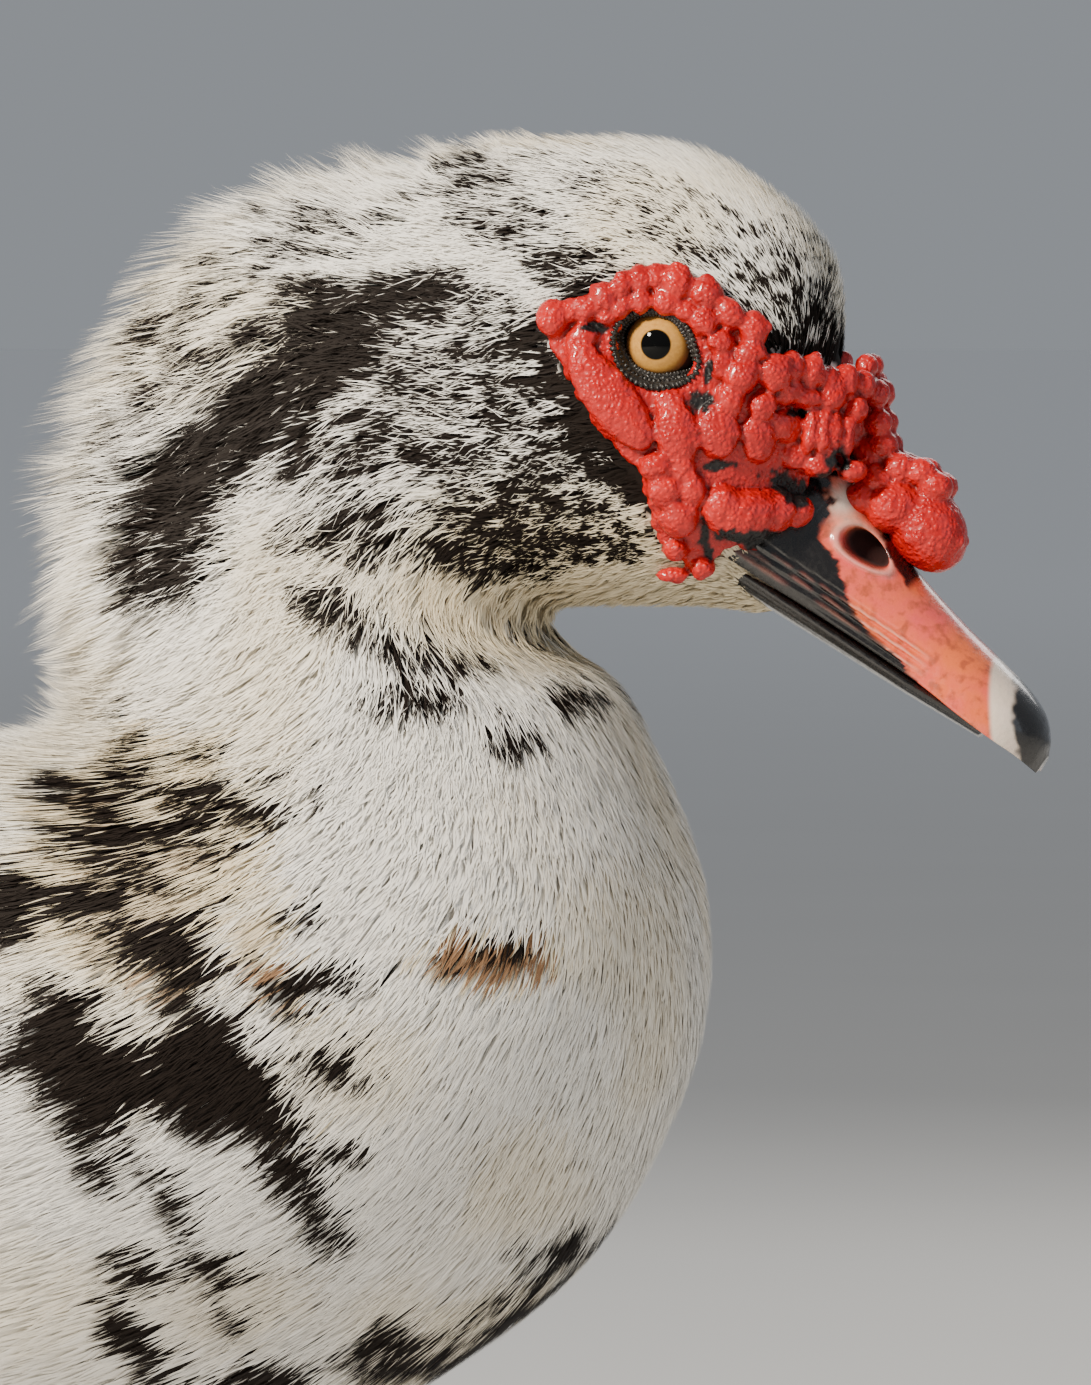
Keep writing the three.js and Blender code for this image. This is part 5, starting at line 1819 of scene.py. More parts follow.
def ball(at: Array, half: Array, row: Array, out: Array, segments: int = 12) -> Form:
    """An oval ball.

    Args:
        at: Its middle.
        half: Its half sizes along its row, across it and outwards.
        row: The direction of its length.
        out: The way out.
        segments: How many faces it has round.

    Returns:
        The closed form.
    """
    tilt = np.linspace(0, math.pi, segments // 2 + 1)[1:-1]
    _, ways = ball_ways(tilt, all_round(segments))
    points = at + ways * half @ axes(row, out)
    return grid(points[:, ::-1], closed=True)


GAPE = np.array([231.5, 0.0, 269.5])
DROOP = math.radians(33)
BILL_ALONG = np.array([math.cos(DROOP), 0.0, -math.sin(DROOP)])
BILL_UP = np.array([math.sin(DROOP), 0.0, math.cos(DROOP)])


def bill_point(u: Array, v: Array, y: Array) -> Array:
    """A point in the bill's own frame: u along it from the gape, v up from the line of the mouth."""
    at = GAPE + np.multiply.outer(u, BILL_ALONG) + np.multiply.outer(v, BILL_UP)
    at[..., 1] = y
    return at


@dataclass(frozen=True)
class Bulb(Oval):
    """A bulb or fold of red skin in the side view, on the head's side or at its own place aside."""

    high: float
    aside: float | None = None


def bulbs(*rows: tuple[float, ...]) -> tuple[Bulb, ...]:
    """Bulbs, from rows of x, z, long, wide, turn, high and, off the head's side, aside."""
    return tuple(Bulb(*row) for row in rows)


BROW = bulbs(  # over the eye, outer row and inner row
    (203.8, 312, 3.6, 3.0, 90, 2.6), (207.3, 313.4, 2.4, 2.0, 80, 2.0), (210, 313.6, 2.6, 2.2, 80, 2.2),
    (212.9, 315.8, 3.0, 2.6, 70, 2.6), (216.3, 317.8, 3.1, 2.1, 75, 2.5),
    (219.2, 319, 3.0, 2.0, 85, 2.4), (222.2, 319.4, 2.8, 2.1, 90, 2.4),
    (226, 318.4, 3.6, 3.3, 100, 2.9), (231.3, 316.4, 3.4, 3.1, 110, 2.9),
    (235.3, 312.8, 3.4, 2.7, 125, 2.7), (239.6, 310, 3.6, 2.8, 95, 2.6),
    (239.1, 305.6, 3.2, 2.4, 5, 2.6), (237.6, 301.6, 3.8, 3.3, 60, 2.8),
    (235.6, 297.4, 3.0, 2.7, 80, 2.3), (213.6, 312.2, 1.9, 1.6, 40, 1.5),
    (216.2, 313.8, 2.4, 2.0, 60, 1.9), (219.8, 315.2, 2.7, 1.8, 85, 2.0),
    (224.2, 315, 2.8, 2.6, 95, 2.2), (228, 313.2, 2.2, 2.0, 110, 1.8), (231, 311.4, 2.8, 2.8, 120, 2.4),
    (234.2, 307.6, 2.5, 2.3, 100, 2.1), (234, 303.4, 2.5, 1.8, 90, 1.7),
    (209.5, 308.6, 3.0, 2.0, 10, 1.7),
)  # fmt: skip
RIDGE = bulbs(  # from the brow to the bill's base
    (243, 302.3, 3.6, 3.5, 90, 3.0), (246.2, 303.2, 3.2, 2.5, 90, 2.8, 18.2),
    (249.3, 302.3, 3.4, 2.6, 80, 2.8, 15.5), (251.9, 300.4, 3.2, 2.3, 70, 2.6, 13),
    (254.6, 300.4, 3.5, 2.8, 75, 2.9, 10), (257.4, 299.8, 3.0, 2.6, 85, 2.8, 6.5),
    (259.4, 298.2, 2.8, 2.6, 80, 2.6, 2.8), (257.6, 303.2, 2.4, 2.2, 80, 2.4, 3),
    (260, 292.8, 2.6, 2.5, 80, 2.5, 3.4), (244.9, 298.6, 2.8, 2.3, 10, 2.2),
    (248.4, 297.6, 2.6, 2.1, 15, 2.4, 16.2), (252.3, 296.9, 3.4, 2.1, 15, 2.6, 13.4),
    (256.6, 295.2, 2.8, 2.4, 60, 2.8, 9.2), (241, 296.4, 2.9, 2.5, 30, 2.3),
)  # fmt: skip
LORE = bulbs(  # before the eye
    (244.6, 292.4, 4.0, 3.0, -20, 1.8), (249.2, 291.5, 4.6, 1.4, 80, 2.5, 15.8),
    (251.2, 291.3, 4.8, 1.4, 82, 2.7, 14.6), (253.2, 291.2, 4.8, 1.4, 84, 2.7, 13),
    (255.2, 290.8, 4.6, 1.5, 88, 2.7, 11), (250.6, 285.4, 3.3, 2.8, 20, 2.8, 13.6),
    (256.3, 284, 2.9, 2.1, 10, 2.6, 10.4), (246.4, 287.4, 3.4, 3.3, 0, 2.0, 15),
    (240.3, 290.4, 4.8, 3.4, -75, 1.7),
)  # fmt: skip
CHEEK = bulbs(  # behind and under the eye, down to the gape
    (214.6, 297.4, 11.6, 4.7, -52, 2.3), (209.6, 305.2, 3.6, 2.6, -45, 1.8),
    (226.4, 291.2, 6.2, 4.0, -80, 2.3), (225.2, 296.2, 3.0, 2.6, -60, 1.1),
    (233.6, 291.8, 5.4, 4.0, -85, 2.1), (227.2, 285.2, 2.5, 2.3, 0, 2.0),
    (222.2, 285.3, 3.0, 2.5, 30, 2.4), (224, 281.2, 3.5, 3.2, 0, 2.8), (228.7, 281, 3.3, 2.6, 90, 2.6),
    (226.2, 276.2, 4.1, 3.7, 90, 3.2), (225, 270.3, 2.3, 2.2, 0, 2.4),
    (229.3, 267.2, 2.5, 2.0, -20, 2.4), (223.8, 265.6, 3.2, 1.3, -5, 1.5),
    (237.4, 276.4, 7.2, 5.0, -6, 4.2), (233.6, 277.6, 4.2, 4.6, 0, 3.6),
    (242.4, 276.8, 4.8, 4.2, 20, 4.2, 15.8), (246.6, 276.6, 3.2, 2.9, 40, 3.4, 13),
)  # fmt: skip
KNOB = bulbs(  # over the bill
    (268.4, 273.4, 8.8, 7.0, -58, 7.0, 0.0), (262.6, 277.4, 5.6, 5.2, 0, 5.4, 2.6),
    (256.9, 279, 3.5, 3.3, 0, 3.4, 3.6), (259.9, 282.3, 3.1, 2.9, 0, 3.1, 3.4),
    (263.8, 284.4, 3.4, 3.1, 0, 3.3, 2.6), (267.6, 283.6, 3.2, 2.9, 0, 3.1, 2.4),
    (270.6, 281, 3.2, 2.8, 0, 3.1, 2.6), (252.6, 292.6, 6.0, 6.0, 0, 6.0, 0.0),
    (257.8, 286.6, 5.0, 5.0, 0, 5.0, 0.0), (260.6, 288.8, 2.9, 2.7, 0, 2.9, 2.6),
)  # fmt: skip
BLACK_SKIN = [
    Oval(*row)
    for row in (
        (231.4, 297.2, 3.0, 2.4, 0), (231.9, 301.8, 2.6, 1.1, 80), (211.8, 310.4, 2.2, 1.2, -10),
        (234.2, 285.2, 3.6, 1.0, 8), (245.4, 281.2, 5.6, 2.8, -25), (247.6, 294.8, 2.2, 0.8, -5),
        (254.6, 287, 2.4, 2.6, 30), (251.4, 281.4, 3.4, 2.2, 0), (241, 271.4, 10, 1.9, -3),
        (230.6, 271.4, 1.2, 3.6, 0),
    )
]  # fmt: skip


def borders(form: Form) -> Iterator[Pair]:
    """The edges of a form's faces, as the points that they run from and to."""
    for rows in form.faces:
        for k in range(rows.shape[1]):
            yield rows[:, k], rows[:, (k + 1) % rows.shape[1]]


def hollows(form: Form) -> Array:
    """How deep each point of a form lies between its neighbours, in millimetres."""
    total = np.zeros((len(form.points), 3))
    count = np.zeros(len(form.points))
    for here, there in borders(form):
        np.add.at(total, here, form.points[there])
        np.add.at(count, here, 1)
    mean = total / np.maximum(count, 1)[:, None]
    return ((mean - form.points) * form.normals()).sum(axis=1)


def settled(form: Form, values: Array, rounds: int) -> Array:
    """Values evened out between neighbouring points."""
    for _ in range(rounds):
        total, count = values.copy(), np.ones(len(values))
        for here, there in borders(form):
            total += np.bincount(here, values[there], len(values))
            count += np.bincount(here, minlength=len(values))
        values = total / count
    return values


@dataclass
class Caruncles:
    """The bare red face with its bulbs and folds, and the knob over the bill."""

    voxel: float = 0.46
    pad_count: int = 1500
    relief: float = 0.32
    beak_from: float = 256.0
    seed: int = 11

    def bulb(self, bulb: Bulb, random: np.random.Generator) -> list[Form]:
        """A bulb on the left side, and small swellings on a large one."""
        if bulb.aside is None:
            t, phi = trunk.locate(bulb.x, bulb.z, HEAD_END)
            at, out = trunk.point(t, phi, 0.5 + bulb.high / 4)[0], trunk.normal(t, phi)[0]
        else:
            at, out = np.array([bulb.x, bulb.aside, bulb.z]), unit(np.array([0.35, 0.9, 0.2]))
        turn = math.radians(bulb.turn)
        row = np.array([math.cos(turn), 0.0, math.sin(turn)])
        row = unit(row - out * row.dot(out))
        side = np.cross(out, row)
        half = np.array([bulb.long, bulb.wide, bulb.high])
        made = [ball(at, half, row, out, 20)]
        smooth = bulb.aside is not None and bulb.x > self.beak_from
        for _ in range(int(bulb.long * bulb.wide / (8 if smooth else 2.2))):
            angle, reach = random.random() * FULL_TURN, 0.8 * math.sqrt(random.random())
            local = np.array([math.cos(angle) * reach, math.sin(angle) * reach])
            high = math.sqrt(1 - reach**2) * bulb.high
            place = at + row * local[0] * bulb.long + side * local[1] * bulb.wide + out * (high - 0.75)
            size = 1.0 + 0.5 * random.random()
            made.append(ball(place, np.array([size, size, 0.95]), row, out, 10))
        return made

    def pad(self) -> list[Form]:
        """The low skin between the bulbs, as many small swellings within the outline."""
        first, second = even_pairs(self.pad_count)
        low, high = MASK_OUTLINE.min(axis=0), MASK_OUTLINE.max(axis=0)
        x, z = low[0] + (high[0] - low[0]) * first, low[1] + (high[1] - low[1]) * second
        centre = MASK_OUTLINE.mean(axis=0)
        shrunk = centre + (MASK_OUTLINE - centre) * 0.955
        keep = inside(x, z, shrunk) & ~inside(x, z, Eye().outer(1.2))
        x, z = x[keep], z[keep]
        t, phi = trunk.locate(x, z, HEAD_END)
        at, out = trunk.point(t, phi, -0.9), trunk.normal(t, phi)
        size = 1.7 + 0.5 * noise(at, 3.0, Field.PAD)
        return [ball(at[i], np.full(3, size[i]), AHEAD, out[i], 8) for i in range(len(x))]

    def build(self, bench: Bench, groups: Groups) -> None:
        """Builds and lays the red skin."""
        random = np.random.default_rng(self.seed)
        left = self.pad()
        for bulb in BROW + RIDGE + LORE + CHEEK + KNOB:
            left += self.bulb(bulb, random)
        form = fused(joined(left + [part.mirrored() for part in left]), self.voxel, 2)
        points = form.points
        cell = noise(points, 0.85, Field.PEBBLE) * 0.6 + noise(points, 0.5, Field.FINE_PEBBLE) * 0.4
        form.points = points + form.normals() * ((cell - 0.5) * self.relief)[:, None]
        # crease marks the hollows of the skin, which the red skin's material darkens as painted shade
        crease = settled(form, hollows(form), 2)
        rough = noise(points, 2.2, Field.BLACK) * 0.7 + noise(points, 0.8, Field.FINE_BLACK) * 0.5 - 0.6
        black = np.zeros(len(points))
        for patch in BLACK_SKIN:
            reach = patch.reach(points[:, 0], points[:, 2]) + rough * 1.3
            black = np.maximum(black, 1 - smooth_step(0.75, 1.1, reach))
        knob = smooth_step(258.5, 260.5, points[:, 0] + 0.5 * (points[:, 2] - 280))
        form.masks = {"crease": smooth_step(0.0, 0.07, crease), "black": black * (1 - knob)}
        nodes = ("caruncles_left", "caruncles_right", "bill_knob")
        bench.lay("red_face", form, Slot.CARUNCLE, CaruncleFinish().material(groups), nodes)


def ring_curve(stops: Array, count: int) -> Array:
    """A smooth closed curve through stops."""
    wrapped = np.vstack([stops[-2:], stops, stops[:3]])
    last = len(wrapped) - 1
    share = (2 + np.linspace(0, len(stops), count, endpoint=False)) / last
    return spline(wrapped, share)


@dataclass
class Eye:
    """The eyeballs and the beaded lids round them."""

    gaze: tuple[float, float, float] = (0.02, 1.0, 0.0)
    iris_at: tuple[float, float] = (222.6, 307.3)
    opening: tuple = (
        (-6.4, 1.3), (-4.7, 4.3), (-0.9, 5.5), (3.0, 4.4), (5.4, 1.2),
        (6.5, -3.6), (3.9, -4.9), (-0.4, -5.1), (-4.4, -3.2),
    )  # fmt: skip
    rim: tuple[float, ...] = (1.4, 1.2, 1.0, 1.1, 1.3, 1.6, 2.8, 3.2, 2.6)
    profile: tuple = (
        (0.04, 0.05), (0.0, 0.5), (0.08, 0.95), (0.2, 1.05), (0.4, 1.0), (0.6, 1.1), (0.8, 0.9),
        (1.0, 0.4), (1.1, -1.2),
    )  # fmt: skip
    beads: tuple = ((0.12, 0.85, 60, 0.42), (0.5, 0.85, 56, 0.5), (0.85, 0.7, 52, 0.55))
    seed: int = 17

    def curve(self, share: float, count: int) -> Array:
        """The lid's curve at a share of its width, from its opening outwards, about the iris."""
        flat = ring_curve(np.array(self.opening), count)
        wide = ring_curve(np.array(self.rim)[:, None], count)[:, 0]
        ahead = np.roll(flat, -1, axis=0) - np.roll(flat, 1, axis=0)
        out = unit(np.stack([-ahead[:, 1], ahead[:, 0]], axis=1))
        return flat + out * (wide * share)[:, None]

    def outer(self, share: float) -> Array:
        """The lid's outline in the side view at a share of its width."""
        return self.curve(share, 48) + np.array(self.iris_at)

    def eyeball(self) -> Form:
        """The left eyeball, with a slightly bulging clear front."""
        axis = unit(np.array(self.gaze))
        across = unit(np.cross(axis, UP))
        up = np.cross(across, axis)
        tt, ways = ball_ways(np.linspace(0.01, math.pi - 0.01, 40), all_round(64))
        bulge = EYE_RADIUS + 0.35 * np.exp(-((tt / 0.6) ** 2))
        middle = np.array([self.iris_at[0], EYE_AT[1], self.iris_at[1]])
        points = middle + (ways * bulge[..., None]) @ np.stack([across, up, axis])
        form = grid(points, closed=True)
        radius = np.concatenate([(np.sin(tt) * EYE_RADIUS + 20 * (tt > 1.4)).ravel(), [0.0, 40.0]])
        form.masks = {"radius": radius}
        return form

    def lifted(self, share: float, over: float, count: int) -> Array:
        """The lid's curve in space, from over the ball at its opening to over the head outside."""
        flat = self.curve(share, count)
        radius = EYE_RADIUS + over
        on_ball = np.sqrt(np.maximum(radius**2 - (flat**2).sum(axis=1), 1.0)) + EYE_AT[1]
        x, z = (flat + np.array(self.iris_at)).T
        t, phi = trunk.locate(x, z, HEAD_END)
        on_head = trunk.bare(t, phi)[:, 1] + over
        mix = smooth_step(0.1, 0.75, np.full(count, share))
        return np.stack([x, on_ball * (1 - mix) + on_head * mix, z], axis=1)

    def lids(self) -> Form:
        """The left lids: a black rim with rows of small beads."""
        rings = np.stack([self.lifted(share, over, 120) for share, over in self.profile])
        forms = [grid(rings[:, ::-1], closed=True, hollow=True)]
        random = np.random.default_rng(self.seed)
        middle = np.array([self.iris_at[0], EYE_AT[1] - 4, self.iris_at[1]])
        for share, over, count, size in self.beads:
            for at in self.lifted(share, over, count):
                half = np.array([1.25, 0.8, 0.8]) * size * (0.8 + 0.4 * random.random())
                forms.append(ball(at, half, at - middle, LEFT, 8))
        return joined(forms)

    def build(self, bench: Bench, groups: Groups) -> None:
        """Builds and lays both eyes and their lids."""
        glass = EyeFinish().material(groups)
        skin = ScaleFinish("lid_skin", rgb(0.008, 0.007, 0.006), rgb(0.014, 0.01, 0.008), 0.0006, 0.28)
        lid = skin.material(groups)
        for side, sign in SIDES:
            eyeball, lids = self.eyeball().on_side(sign), self.lids().on_side(sign)
            bench.lay(f"eyeball_{side}", eyeball, Slot.EYE, glass, (f"eye_{side}",))
            bench.lay(f"eyelids_{side}", lids, Slot.LID, lid.copy(), (f"lids_{side}",))


UPPER_BILL = np.array(
    [  # along, half width, height of the culmen and of the edge
        [-6, 14.5, 26, 0],
        [8, 14.5, 24.5, 0],
        [20, 13.6, 19.8, 0.2],
        [32, 12.6, 15.6, 0.2],
        [44, 12.6, 12.4, 0],
        [54, 13.2, 10.4, -0.8],
        [61, 12.2, 8.8, -1.3],
        [66, 9.2, 6.6, -1.7],
        [69, 5.8, 3.6, -2.4],
        [70.6, 2.6, 0.6, -3],
    ]
)


@dataclass
class Bill:
    """The bill's two halves."""

    nostril: Oval = Oval(22.6, 14.9, 5.0, 2.4, -9)
    ridge_room: float = 1.55

    def upper(self) -> Form:
        """The upper bill, with its nostrils and the ridges along its edge."""
        rows, columns = 230, 150
        share = 1 - (1 - np.linspace(0, 1, rows)) ** 1.2
        section = spline(UPPER_BILL, share)
        angle = np.linspace(0, math.pi, columns)
        ss, aa = np.meshgrid(np.arange(rows), angle, indexing="ij")
        u, half, top, edge = (section[:, k][ss.astype(int)] for k in range(4))
        v = edge + np.sin(aa) ** 0.8 * (top - edge)
        y = np.cos(aa) * half
        along, across = self.nostril.local(u, v)
        far = np.hypot(along, across * (1 + 0.25 * along))
        aside = np.abs(y) > 3
        # hole marks the nostril, sunk in and coloured near black as painted shade of its opening
        hole = (1 - smooth_step(0.8, 1.02, far)) * aside
        rim = np.exp(-(((far - 1.2) / 0.17) ** 2)) * aside
        sink = 1 - (6.0 * hole - 1.05 * rim) / np.maximum(np.hypot(y, v * 0.4), 5.0)
        y = y * sink
        depth = v - edge
        fade = (1 - smooth_step(4.6, 6.6, depth)) * (1 - smooth_step(38, 46, u)) * smooth_step(-2, 6, u)
        crest = np.sin(depth * FULL_TURN / self.ridge_room)
        y = y + np.sign(y) * 0.6 * crest * fade
        groove = 0.5 * np.exp(-(((u - 34 - 0.9 * (v - 4)) / 1.2) ** 2))
        y = y * (1 - groove * smooth_step(3, 6, np.abs(y)) * (v > 5) * 0.03)
        points = bill_point(u, v, y)
        floor = points[:, [0, -1]].mean(axis=1, keepdims=True) + BILL_UP * 0.6
        form = grid(np.concatenate([points, floor], axis=1)[:, ::-1], closed=True)
        black = self.black(u, v, np.cos(aa) * half, hole)
        # painted highlight: the ridges' crests along the edge are made paler and less black
        pale = np.clip(self.pale(u, v, rim) + 0.3 * fade * smooth_step(0.5, 1.0, crest), 0, 1)
        black = np.clip(black - 0.16 * fade * smooth_step(0.6, 1.0, crest), 0, 1)
        form.masks = {
            "black": self.spread(black, rows),
            "pale": self.spread(pale, rows),
            "hole": self.spread(hole, rows),
        }
        return form

    def spread(self, values: Array, rows: int) -> Array:
        """Lays a mask over the points of the upper bill, in the order that its grid has them."""
        full = np.concatenate([values, np.zeros((rows, 1))], axis=1)[:, ::-1].ravel()
        return np.concatenate([full, [full[0], full[-1]]])

    def past_nail(self, u: Array, v: Array) -> Array:
        """How far a place lies past the nail's rear edge."""
        return u - 53.7 - 0.75 * (9.1 - v)

    def black(self, u: Array, v: Array, y: Array, hole: Array) -> Array:
        """Where the upper bill is black: its base, a band by the edge and the nail, and the nostrils as
        painted shade of their openings.
        """
        flat = np.stack([u, v, np.sign(y) * 9], axis=-1).reshape(-1, 3)
        rough = noise(flat, 3.2, Field.BILL) * 0.6 + noise(flat, 1.1, Field.FINE_BILL) * 0.4
        rough = rough.reshape(u.shape) - 0.5
        height = [0, 1.5, 4.2, 7.5, 10.3, 12, 18.7, 25]
        front = np.interp(v, height, [44, 40, 28, 24.5, 20, 15.5, 11.5, 9]) + rough * 8
        base = 1 - smooth_step(-0.8, 0.8, u - front)
        line = v - (20.8 - 0.54 * (u - 20.9))
        by_knob = 1 - smooth_step(1.3, 1.8, np.abs(line + rough * 2))
        by_knob = by_knob * smooth_step(18, 20, u) * smooth_step(34, 32, u)
        nail = smooth_step(4.2, 5.6, self.past_nail(u, v) + rough * 3)
        return np.clip(np.maximum.reduce([base, hole, by_knob, nail]), 0, 1)

    def pale(self, u: Array, v: Array, rim: Array) -> Array:
        """Where the upper bill is pale: its nail, its skin by the knob and the nostrils' rims."""
        nail = smooth_step(-0.6, 0.8, self.past_nail(u, v))
        base = np.exp(-(((u - 14.2) / 3.0) ** 2) - ((v - 20.4) / 3.2) ** 2)
        return np.clip(nail * 0.9 + base + 0.3 * rim, 0, 1)

    def lower(self) -> Form:
        """The lower bill, a shallow trough."""
        rows, columns = 60, 40
        share = np.linspace(0, 1, rows)
        angle = np.linspace(0, math.pi, columns)
        ss, aa = np.meshgrid(share, angle, indexing="ij")
        drawn = np.maximum(0, ss - 0.75) / 0.25
        wide = 11.4 * np.sqrt(1 - 0.8 * drawn)
        deep = 4.6 - 2.0 * ss
        u = -4 + 62 * ss
        v = -0.9 - np.sin(aa) ** 0.7 * deep
        y = -np.cos(aa) * wide
        y = y * (1 + 0.012 * np.sin(v * FULL_TURN))
        form = grid(bill_point(u, v, y)[:, ::-1], closed=True)
        size = len(form.points)
        form.masks = {"black": np.ones(size), "pale": np.zeros(size)}
        return form

    def build(self, bench: Bench, groups: Groups) -> None:
        """Builds and lays the bill."""
        horn = BillFinish().material(groups)
        bench.lay("upper_bill", self.upper(), Slot.BILL, horn, ("bill_upper",))
        bench.lay("lower_bill", self.lower(), Slot.BILL, horn.copy(), ("bill_lower",))


# Legs


def limb(points: Array, segments: int, level: bool = False) -> Form:
    """A round limb.

    Args:
        points: Its stations as rows of x, y, z and radius.
        segments: How many faces it has round.
        level: Whether its rings stand upright, as a toe's do.

    Returns:
        The closed form.
    """
    at, radius = points[:, :3], points[:, 3]
    way = np.gradient(at, axis=0)
    if level:
        way[:, 2] = 0
    way = unit(way)
    side = unit(LEFT - way * way[:, 1:2])
    up = np.cross(way, side)
    angle = all_round(segments)
    cosine, sine = np.cos(angle)[None, :, None], np.sin(angle)[None, :, None]
    round_ = cosine * side[:, None] + sine * up[:, None]
    rings = at[:, None] + round_ * radius[:, None, None]
    return grid(rings[:, ::-1], closed=True)


@dataclass
class Leg:
    """A leg: feathered thigh, scaled shank, webbed foot and claws."""

    y: float = 50
    stagger: float = 7
    hock: tuple[float, float] = (-10, 66)
    foot: tuple[float, float] = (14, 9)
    toes: tuple = ((-31, 52), (0, 66), (27, 60))
    hind: tuple = (168, 15)
    hip: tuple[float, float] = (8, 118)
    thigh_radius: tuple[float, float] = (31, 9.5)

    def moved(self, form: Form, sign: int) -> Form:
        """Moves a form from the middle to the left or the right leg, without its own shading."""
        at = np.array([-sign * self.stagger, self.y, 0.0])
        return Form(form.points + at, form.faces, form.masks, form.patches).on_side(sign)

    def thigh_line(self, count: int) -> Array:
        """The thigh's middle and radius from its top to the hock, as rows of x, z and radius."""
        share = np.linspace(0, 1, count)
        (x, z), (wide, narrow) = self.hip, self.thigh_radius
        radius = wide + (narrow - wide) * share**0.8
        x = x + (self.hock[0] - x) * share
        z = z + (self.hock[1] + 7 - z) * share
        return np.stack([x, z, radius], axis=1)

    def thigh_rows(self) -> Array:
        """The thigh as rings."""
        past = [self.hock[0] + 1, self.hock[1] - 4, 7.0]
        x, z, radius = np.vstack([self.thigh_line(5), past]).T
        slope = math.atan2(self.hip[0] - self.hock[0], self.hip[1] - self.hock[1] - 7)
        ahead, down = math.cos(slope) * radius, -math.sin(slope) * radius
        return np.stack([x - ahead, z - down, x + ahead, z + down, radius, np.full(6, 0.5)], axis=1)

    def thigh(self, sign: int) -> Form:
        """The feathered thigh, part of the skin."""
        x, z, radius = self.thigh_line(30).T
        form = limb(np.stack([x, np.zeros(30), z, radius - 1.5], axis=1), 40)
        # share 0.5 darkens the thigh's skin very slightly, like a feather's root, as painted shade under
        # its coat
        form.masks = plain_masks(len(form.points), 0.0, 0.15, 0.5, 0.5)
        return self.moved(form, sign)

    def toe(self, angle: float, length: float, root: float, tip: float) -> Form:
        """A toe with its pads."""
        share = np.linspace(0, 1, 24)
        radius = (root + (tip - root) * share) * (1 + 0.07 * np.sin(share * 22))
        turn = math.radians(angle)
        x = self.foot[0] + math.cos(turn) * length * share
        y = math.sin(turn) * length * share
        return limb(np.stack([x, y, radius * 0.86, radius], axis=1), 18, True)

    def web(self) -> Form:
        """The web between the toes, its free edge bowed in."""
        middle = np.array([self.foot[0], 0.0])
        ends = []
        for (angle, length), reach in zip(self.toes, (0.94, 0.9, 0.94)):
            turn = math.radians(angle)
            way = np.array([math.cos(turn) * length * reach, math.sin(turn) * length * reach])
            ends.append(middle + way)
        bows = (middle + [44.0, -13.0], middle + [46.0, 12.0])
        s = np.linspace(0, 1, 16)[:, None]
        edge = [
            (1 - s) ** 2 * ends[i] + 2 * s * (1 - s) * bow + s**2 * ends[i + 1]
            for i, bow in enumerate(bows)
        ]
        share = np.linspace(0.02, 1, 14)[:, None, None]
        flat = middle + (np.concatenate(edge) - middle)[None] * share
        top = np.concatenate([flat, np.full(flat.shape[:2] + (1,), 2.0)], axis=2)
        low = np.concatenate([flat, np.full(flat.shape[:2] + (1,), 0.2)], axis=2)
        ring = np.concatenate([top, low[:, ::-1]], axis=1)
        return grid(ring, closed=True)

    def shank(self) -> list[Form]:
        """The shank with its plates down the front."""
        (hx, hz), (fx, fz) = self.hock, self.foot
        rows = [[hx - 1, 0, hz + 7.5, 4.5], [hx - 1.5, 0, hz + 2, 6.2], [hx + 1, 0, hz - 5, 5.2]]
        rows += [[hx + (fx - hx) * s, 0, hz + (fz - hz) * s, 5.2 - 1.0 * s] for s in (0.35, 0.65, 1)]
        fine = spline(np.array(rows, float), np.linspace(0, 1, 50))
        forms = [limb(fine, 28)]
        slope = math.atan2(fx - hx, hz - fz)
        out = np.array([math.cos(slope), 0, math.sin(slope)])
        for i in range(12):
            s = 0.1 + 0.8 * i / 11
            at = np.array([hx + (fx - hx) * s, 0, hz + (fz - hz) * s]) + out * (5.2 - s - 0.9)
            forms.append(ball(at, np.array([2.7, 3.4, 1.6]), UP, out, 16))
        return forms

    def foot_form(self) -> Form:
        """Shank and foot in one skin."""
        toes = [self.toe(angle, length, 5.0, 3.2) for angle, length in self.toes]
        hind = self.toe(*self.hind, 3.6, 2.6)
        knuckle = ball(np.array([self.foot[0], 0, 7.0]), np.full(3, 6.4), AHEAD, UP)
        form = fused(joined(toes + [hind, knuckle, self.web()] + self.shank()), 0.8, 2)
        form.points[:, 2] = np.maximum(form.points[:, 2], 0.0)
        return form

    def claw(self, angle: float, length: float) -> Form:
        """A curved claw."""
        share = np.linspace(0, 1, 14)
        turn = math.radians(angle)
        reach = length - 1 + 9.5 * share
        z = 3.5 - 2.4 * share**2
        radius = np.minimum(2.6 * (1 - 0.88 * share), z - 0.05)
        x, y = self.foot[0] + math.cos(turn) * reach, math.sin(turn) * reach
        return limb(np.stack([x, y, z, radius], axis=1), 16, True)

    def build(self, bench: Bench, groups: Groups) -> None:
        """Builds and lays both legs."""
        skin = ScaleFinish("leg_skin", rgb(0.3, 0.22, 0.09), rgb(0.06, 0.05, 0.035), 0.0016, 0.45, 0.6)
        horn = ScaleFinish("claw_horn", rgb(0.05, 0.04, 0.035), rgb(0.14, 0.11, 0.08), 0.002, 0.35, 0.1)
        leg, claw = skin.material(groups), horn.material(groups)
        foot = self.foot_form()
        claws = joined([self.claw(angle, length) for angle, length in (*self.toes, self.hind)])
        for side, sign in SIDES:
            nodes = (f"shank_{side}", f"foot_{side}")
            bench.lay(f"leg_{side}", self.moved(foot, sign), Slot.LEG, leg, nodes)
            nodes = tuple(f"claw_{toe}_{side}" for toe in ("inner", "middle", "outer", "hind"))
            bench.lay(f"claws_{side}", self.moved(claws, sign), Slot.CLAW, claw, nodes)


# Camera, floor and light


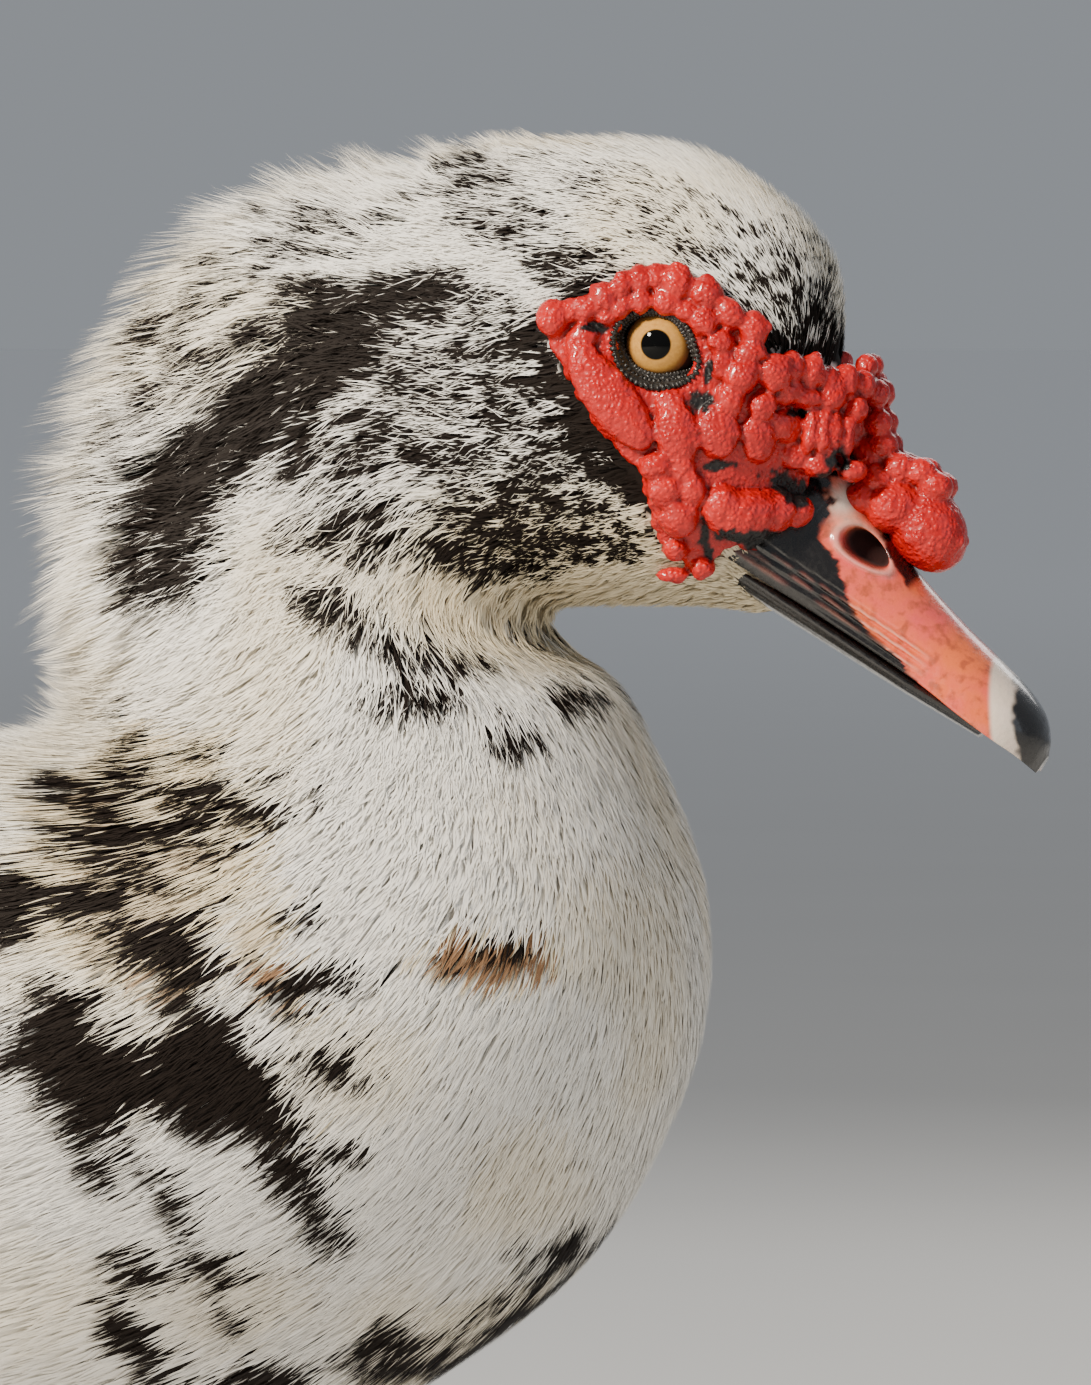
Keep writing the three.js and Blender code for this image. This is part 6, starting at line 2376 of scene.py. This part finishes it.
def aimed(thing: bpy.types.Object, at: Vector, way: Vector) -> None:
    """Puts a camera or a lamp at a place, looking along a way."""
    thing.location = at
    thing.rotation_mode = "QUATERNION"
    thing.rotation_quaternion = way.to_track_quat("-Z", "Y")


@dataclass(frozen=True)
class Lamp:
    """A soft square lamp, in metres and watts."""

    name: str
    at: tuple[float, float, float]
    size: float
    power: float
    colour: tuple[float, float, float]

    def hang(self, aim: tuple[float, float, float]) -> None:
        """Hangs the lamp, turned to its aim."""
        data = bpy.data.lights.new(self.name, "AREA")
        data.size = self.size
        data.energy = self.power
        data.color = self.colour
        at = Vector(self.at)
        aimed(linked(self.name, data), at, Vector(aim) - at)


@dataclass
class Studio:
    """A pale floor, soft light and the camera at the photograph's angle."""

    azimuth: float = 11.0
    elevation: float = 1.5
    distance: float = 3000.0
    height: float = 1385 * 0.185
    sensor: float = 36.0
    aim: tuple[float, float, float] = (196.8, 0.0, 242.8)
    reach: float = 60.0
    middle: tuple[float, float, float] = (0.15, 0.0, 0.22)
    lamps: tuple[Lamp, ...] = (
        Lamp("key", (-1.0, -1.8, 1.6), size=0.4, power=150.0, colour=(1.0, 0.91, 0.78)),
        Lamp("fill", (2.2, -1.0, 0.8), size=1.6, power=7.0, colour=(0.8, 0.89, 1.0)),
        Lamp("back", (0.4, 2.2, 1.6), size=1.4, power=20.0, colour=(1.0, 0.98, 0.95)),
    )

    def camera(self, bench: Bench) -> None:
        """Sets the camera."""
        a, e = math.radians(self.azimuth), math.radians(self.elevation)
        back = np.array([math.sin(a) * math.cos(e), -math.cos(a) * math.cos(e), math.sin(e)])
        aim = np.array(self.aim) + bench.shift
        data = bpy.data.cameras.new("camera")
        data.sensor_width = self.sensor
        data.lens = self.sensor * self.distance / self.height
        data.clip_end = 100.0
        camera = linked("camera", data)
        aimed(camera, Vector((aim + back * self.distance) * MM), Vector(-back))
        bpy.context.scene.camera = camera

    def floor(self) -> None:
        """Lays the floor."""
        corners = np.array([(-1, -1, 0), (1, -1, 0), (1, 1, 0), (-1, 1, 0)]) * self.reach
        mesh = mesh_of("floor", Form(corners, [np.arange(4)[None]]), 1.0, np.zeros(3))
        material, tree, shader = new_material("floor_paint", {"Roughness": 0.9})
        place = place_of(tree)
        cloud = put(tree, "TexNoise", {"Vector": place, "Scale": 3.0})
        tone = mixed(tree, cloud.outputs["Fac"], rgb(0.62, 0.61, 0.59), rgb(0.66, 0.65, 0.63))
        # painted light: the floor turns paler from 2 m to 14 m out, where the lamps no longer reach, so
        # that it meets the sky
        far = put(tree, "VectorMath", {0: place}, operation="LENGTH").outputs["Value"]
        tone = mixed(tree, ranged(tree, far, (2.0, 14.0)), tone, rgb(0.97, 0.97, 0.97))
        wired(tree, shader, {"Base Color": tone})
        mesh.materials.append(material)
        linked("floor", mesh)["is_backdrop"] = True

    def build(self, bench: Bench) -> None:
        """Sets the camera, the floor and the lights."""
        self.camera(bench)
        self.floor()
        world = bpy.data.worlds.new("studio")
        bpy.context.scene.world = world
        world.use_nodes = True
        sky = world.node_tree.nodes["Background"]
        sky.inputs["Color"].default_value = rgb(0.8, 0.85, 0.92)
        sky.inputs["Strength"].default_value = 0.34
        for lamp in self.lamps:
            lamp.hang(self.middle)


def boxed(corners: tuple[Vector, Vector]) -> list[list[float]]:
    """A box's two corners as plain lists."""
    return [list(corner) for corner in corners]


def main(packed: tuple[Vector, Vector]) -> None:
    """Builds the duck and its studio."""
    logging.basicConfig(level=logging.INFO, format="%(message)s")
    bench = Bench()
    groups = Groups()
    Studio().build(bench)
    Caruncles().build(bench, groups)
    Eye().build(bench, groups)
    Bill().build(bench, groups)
    wing = Wing()
    flight = wing.finish.material(groups)
    wing.build(bench, flight)
    Tail().build(bench, flight)
    Leg().build(bench, groups)
    BodyCoat().build(bench, groups)
    {"cad": boxed(packed), "visual": boxed(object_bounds())}


if __name__ == "__main__":
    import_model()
    cad_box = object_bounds()
    main(cad_box)
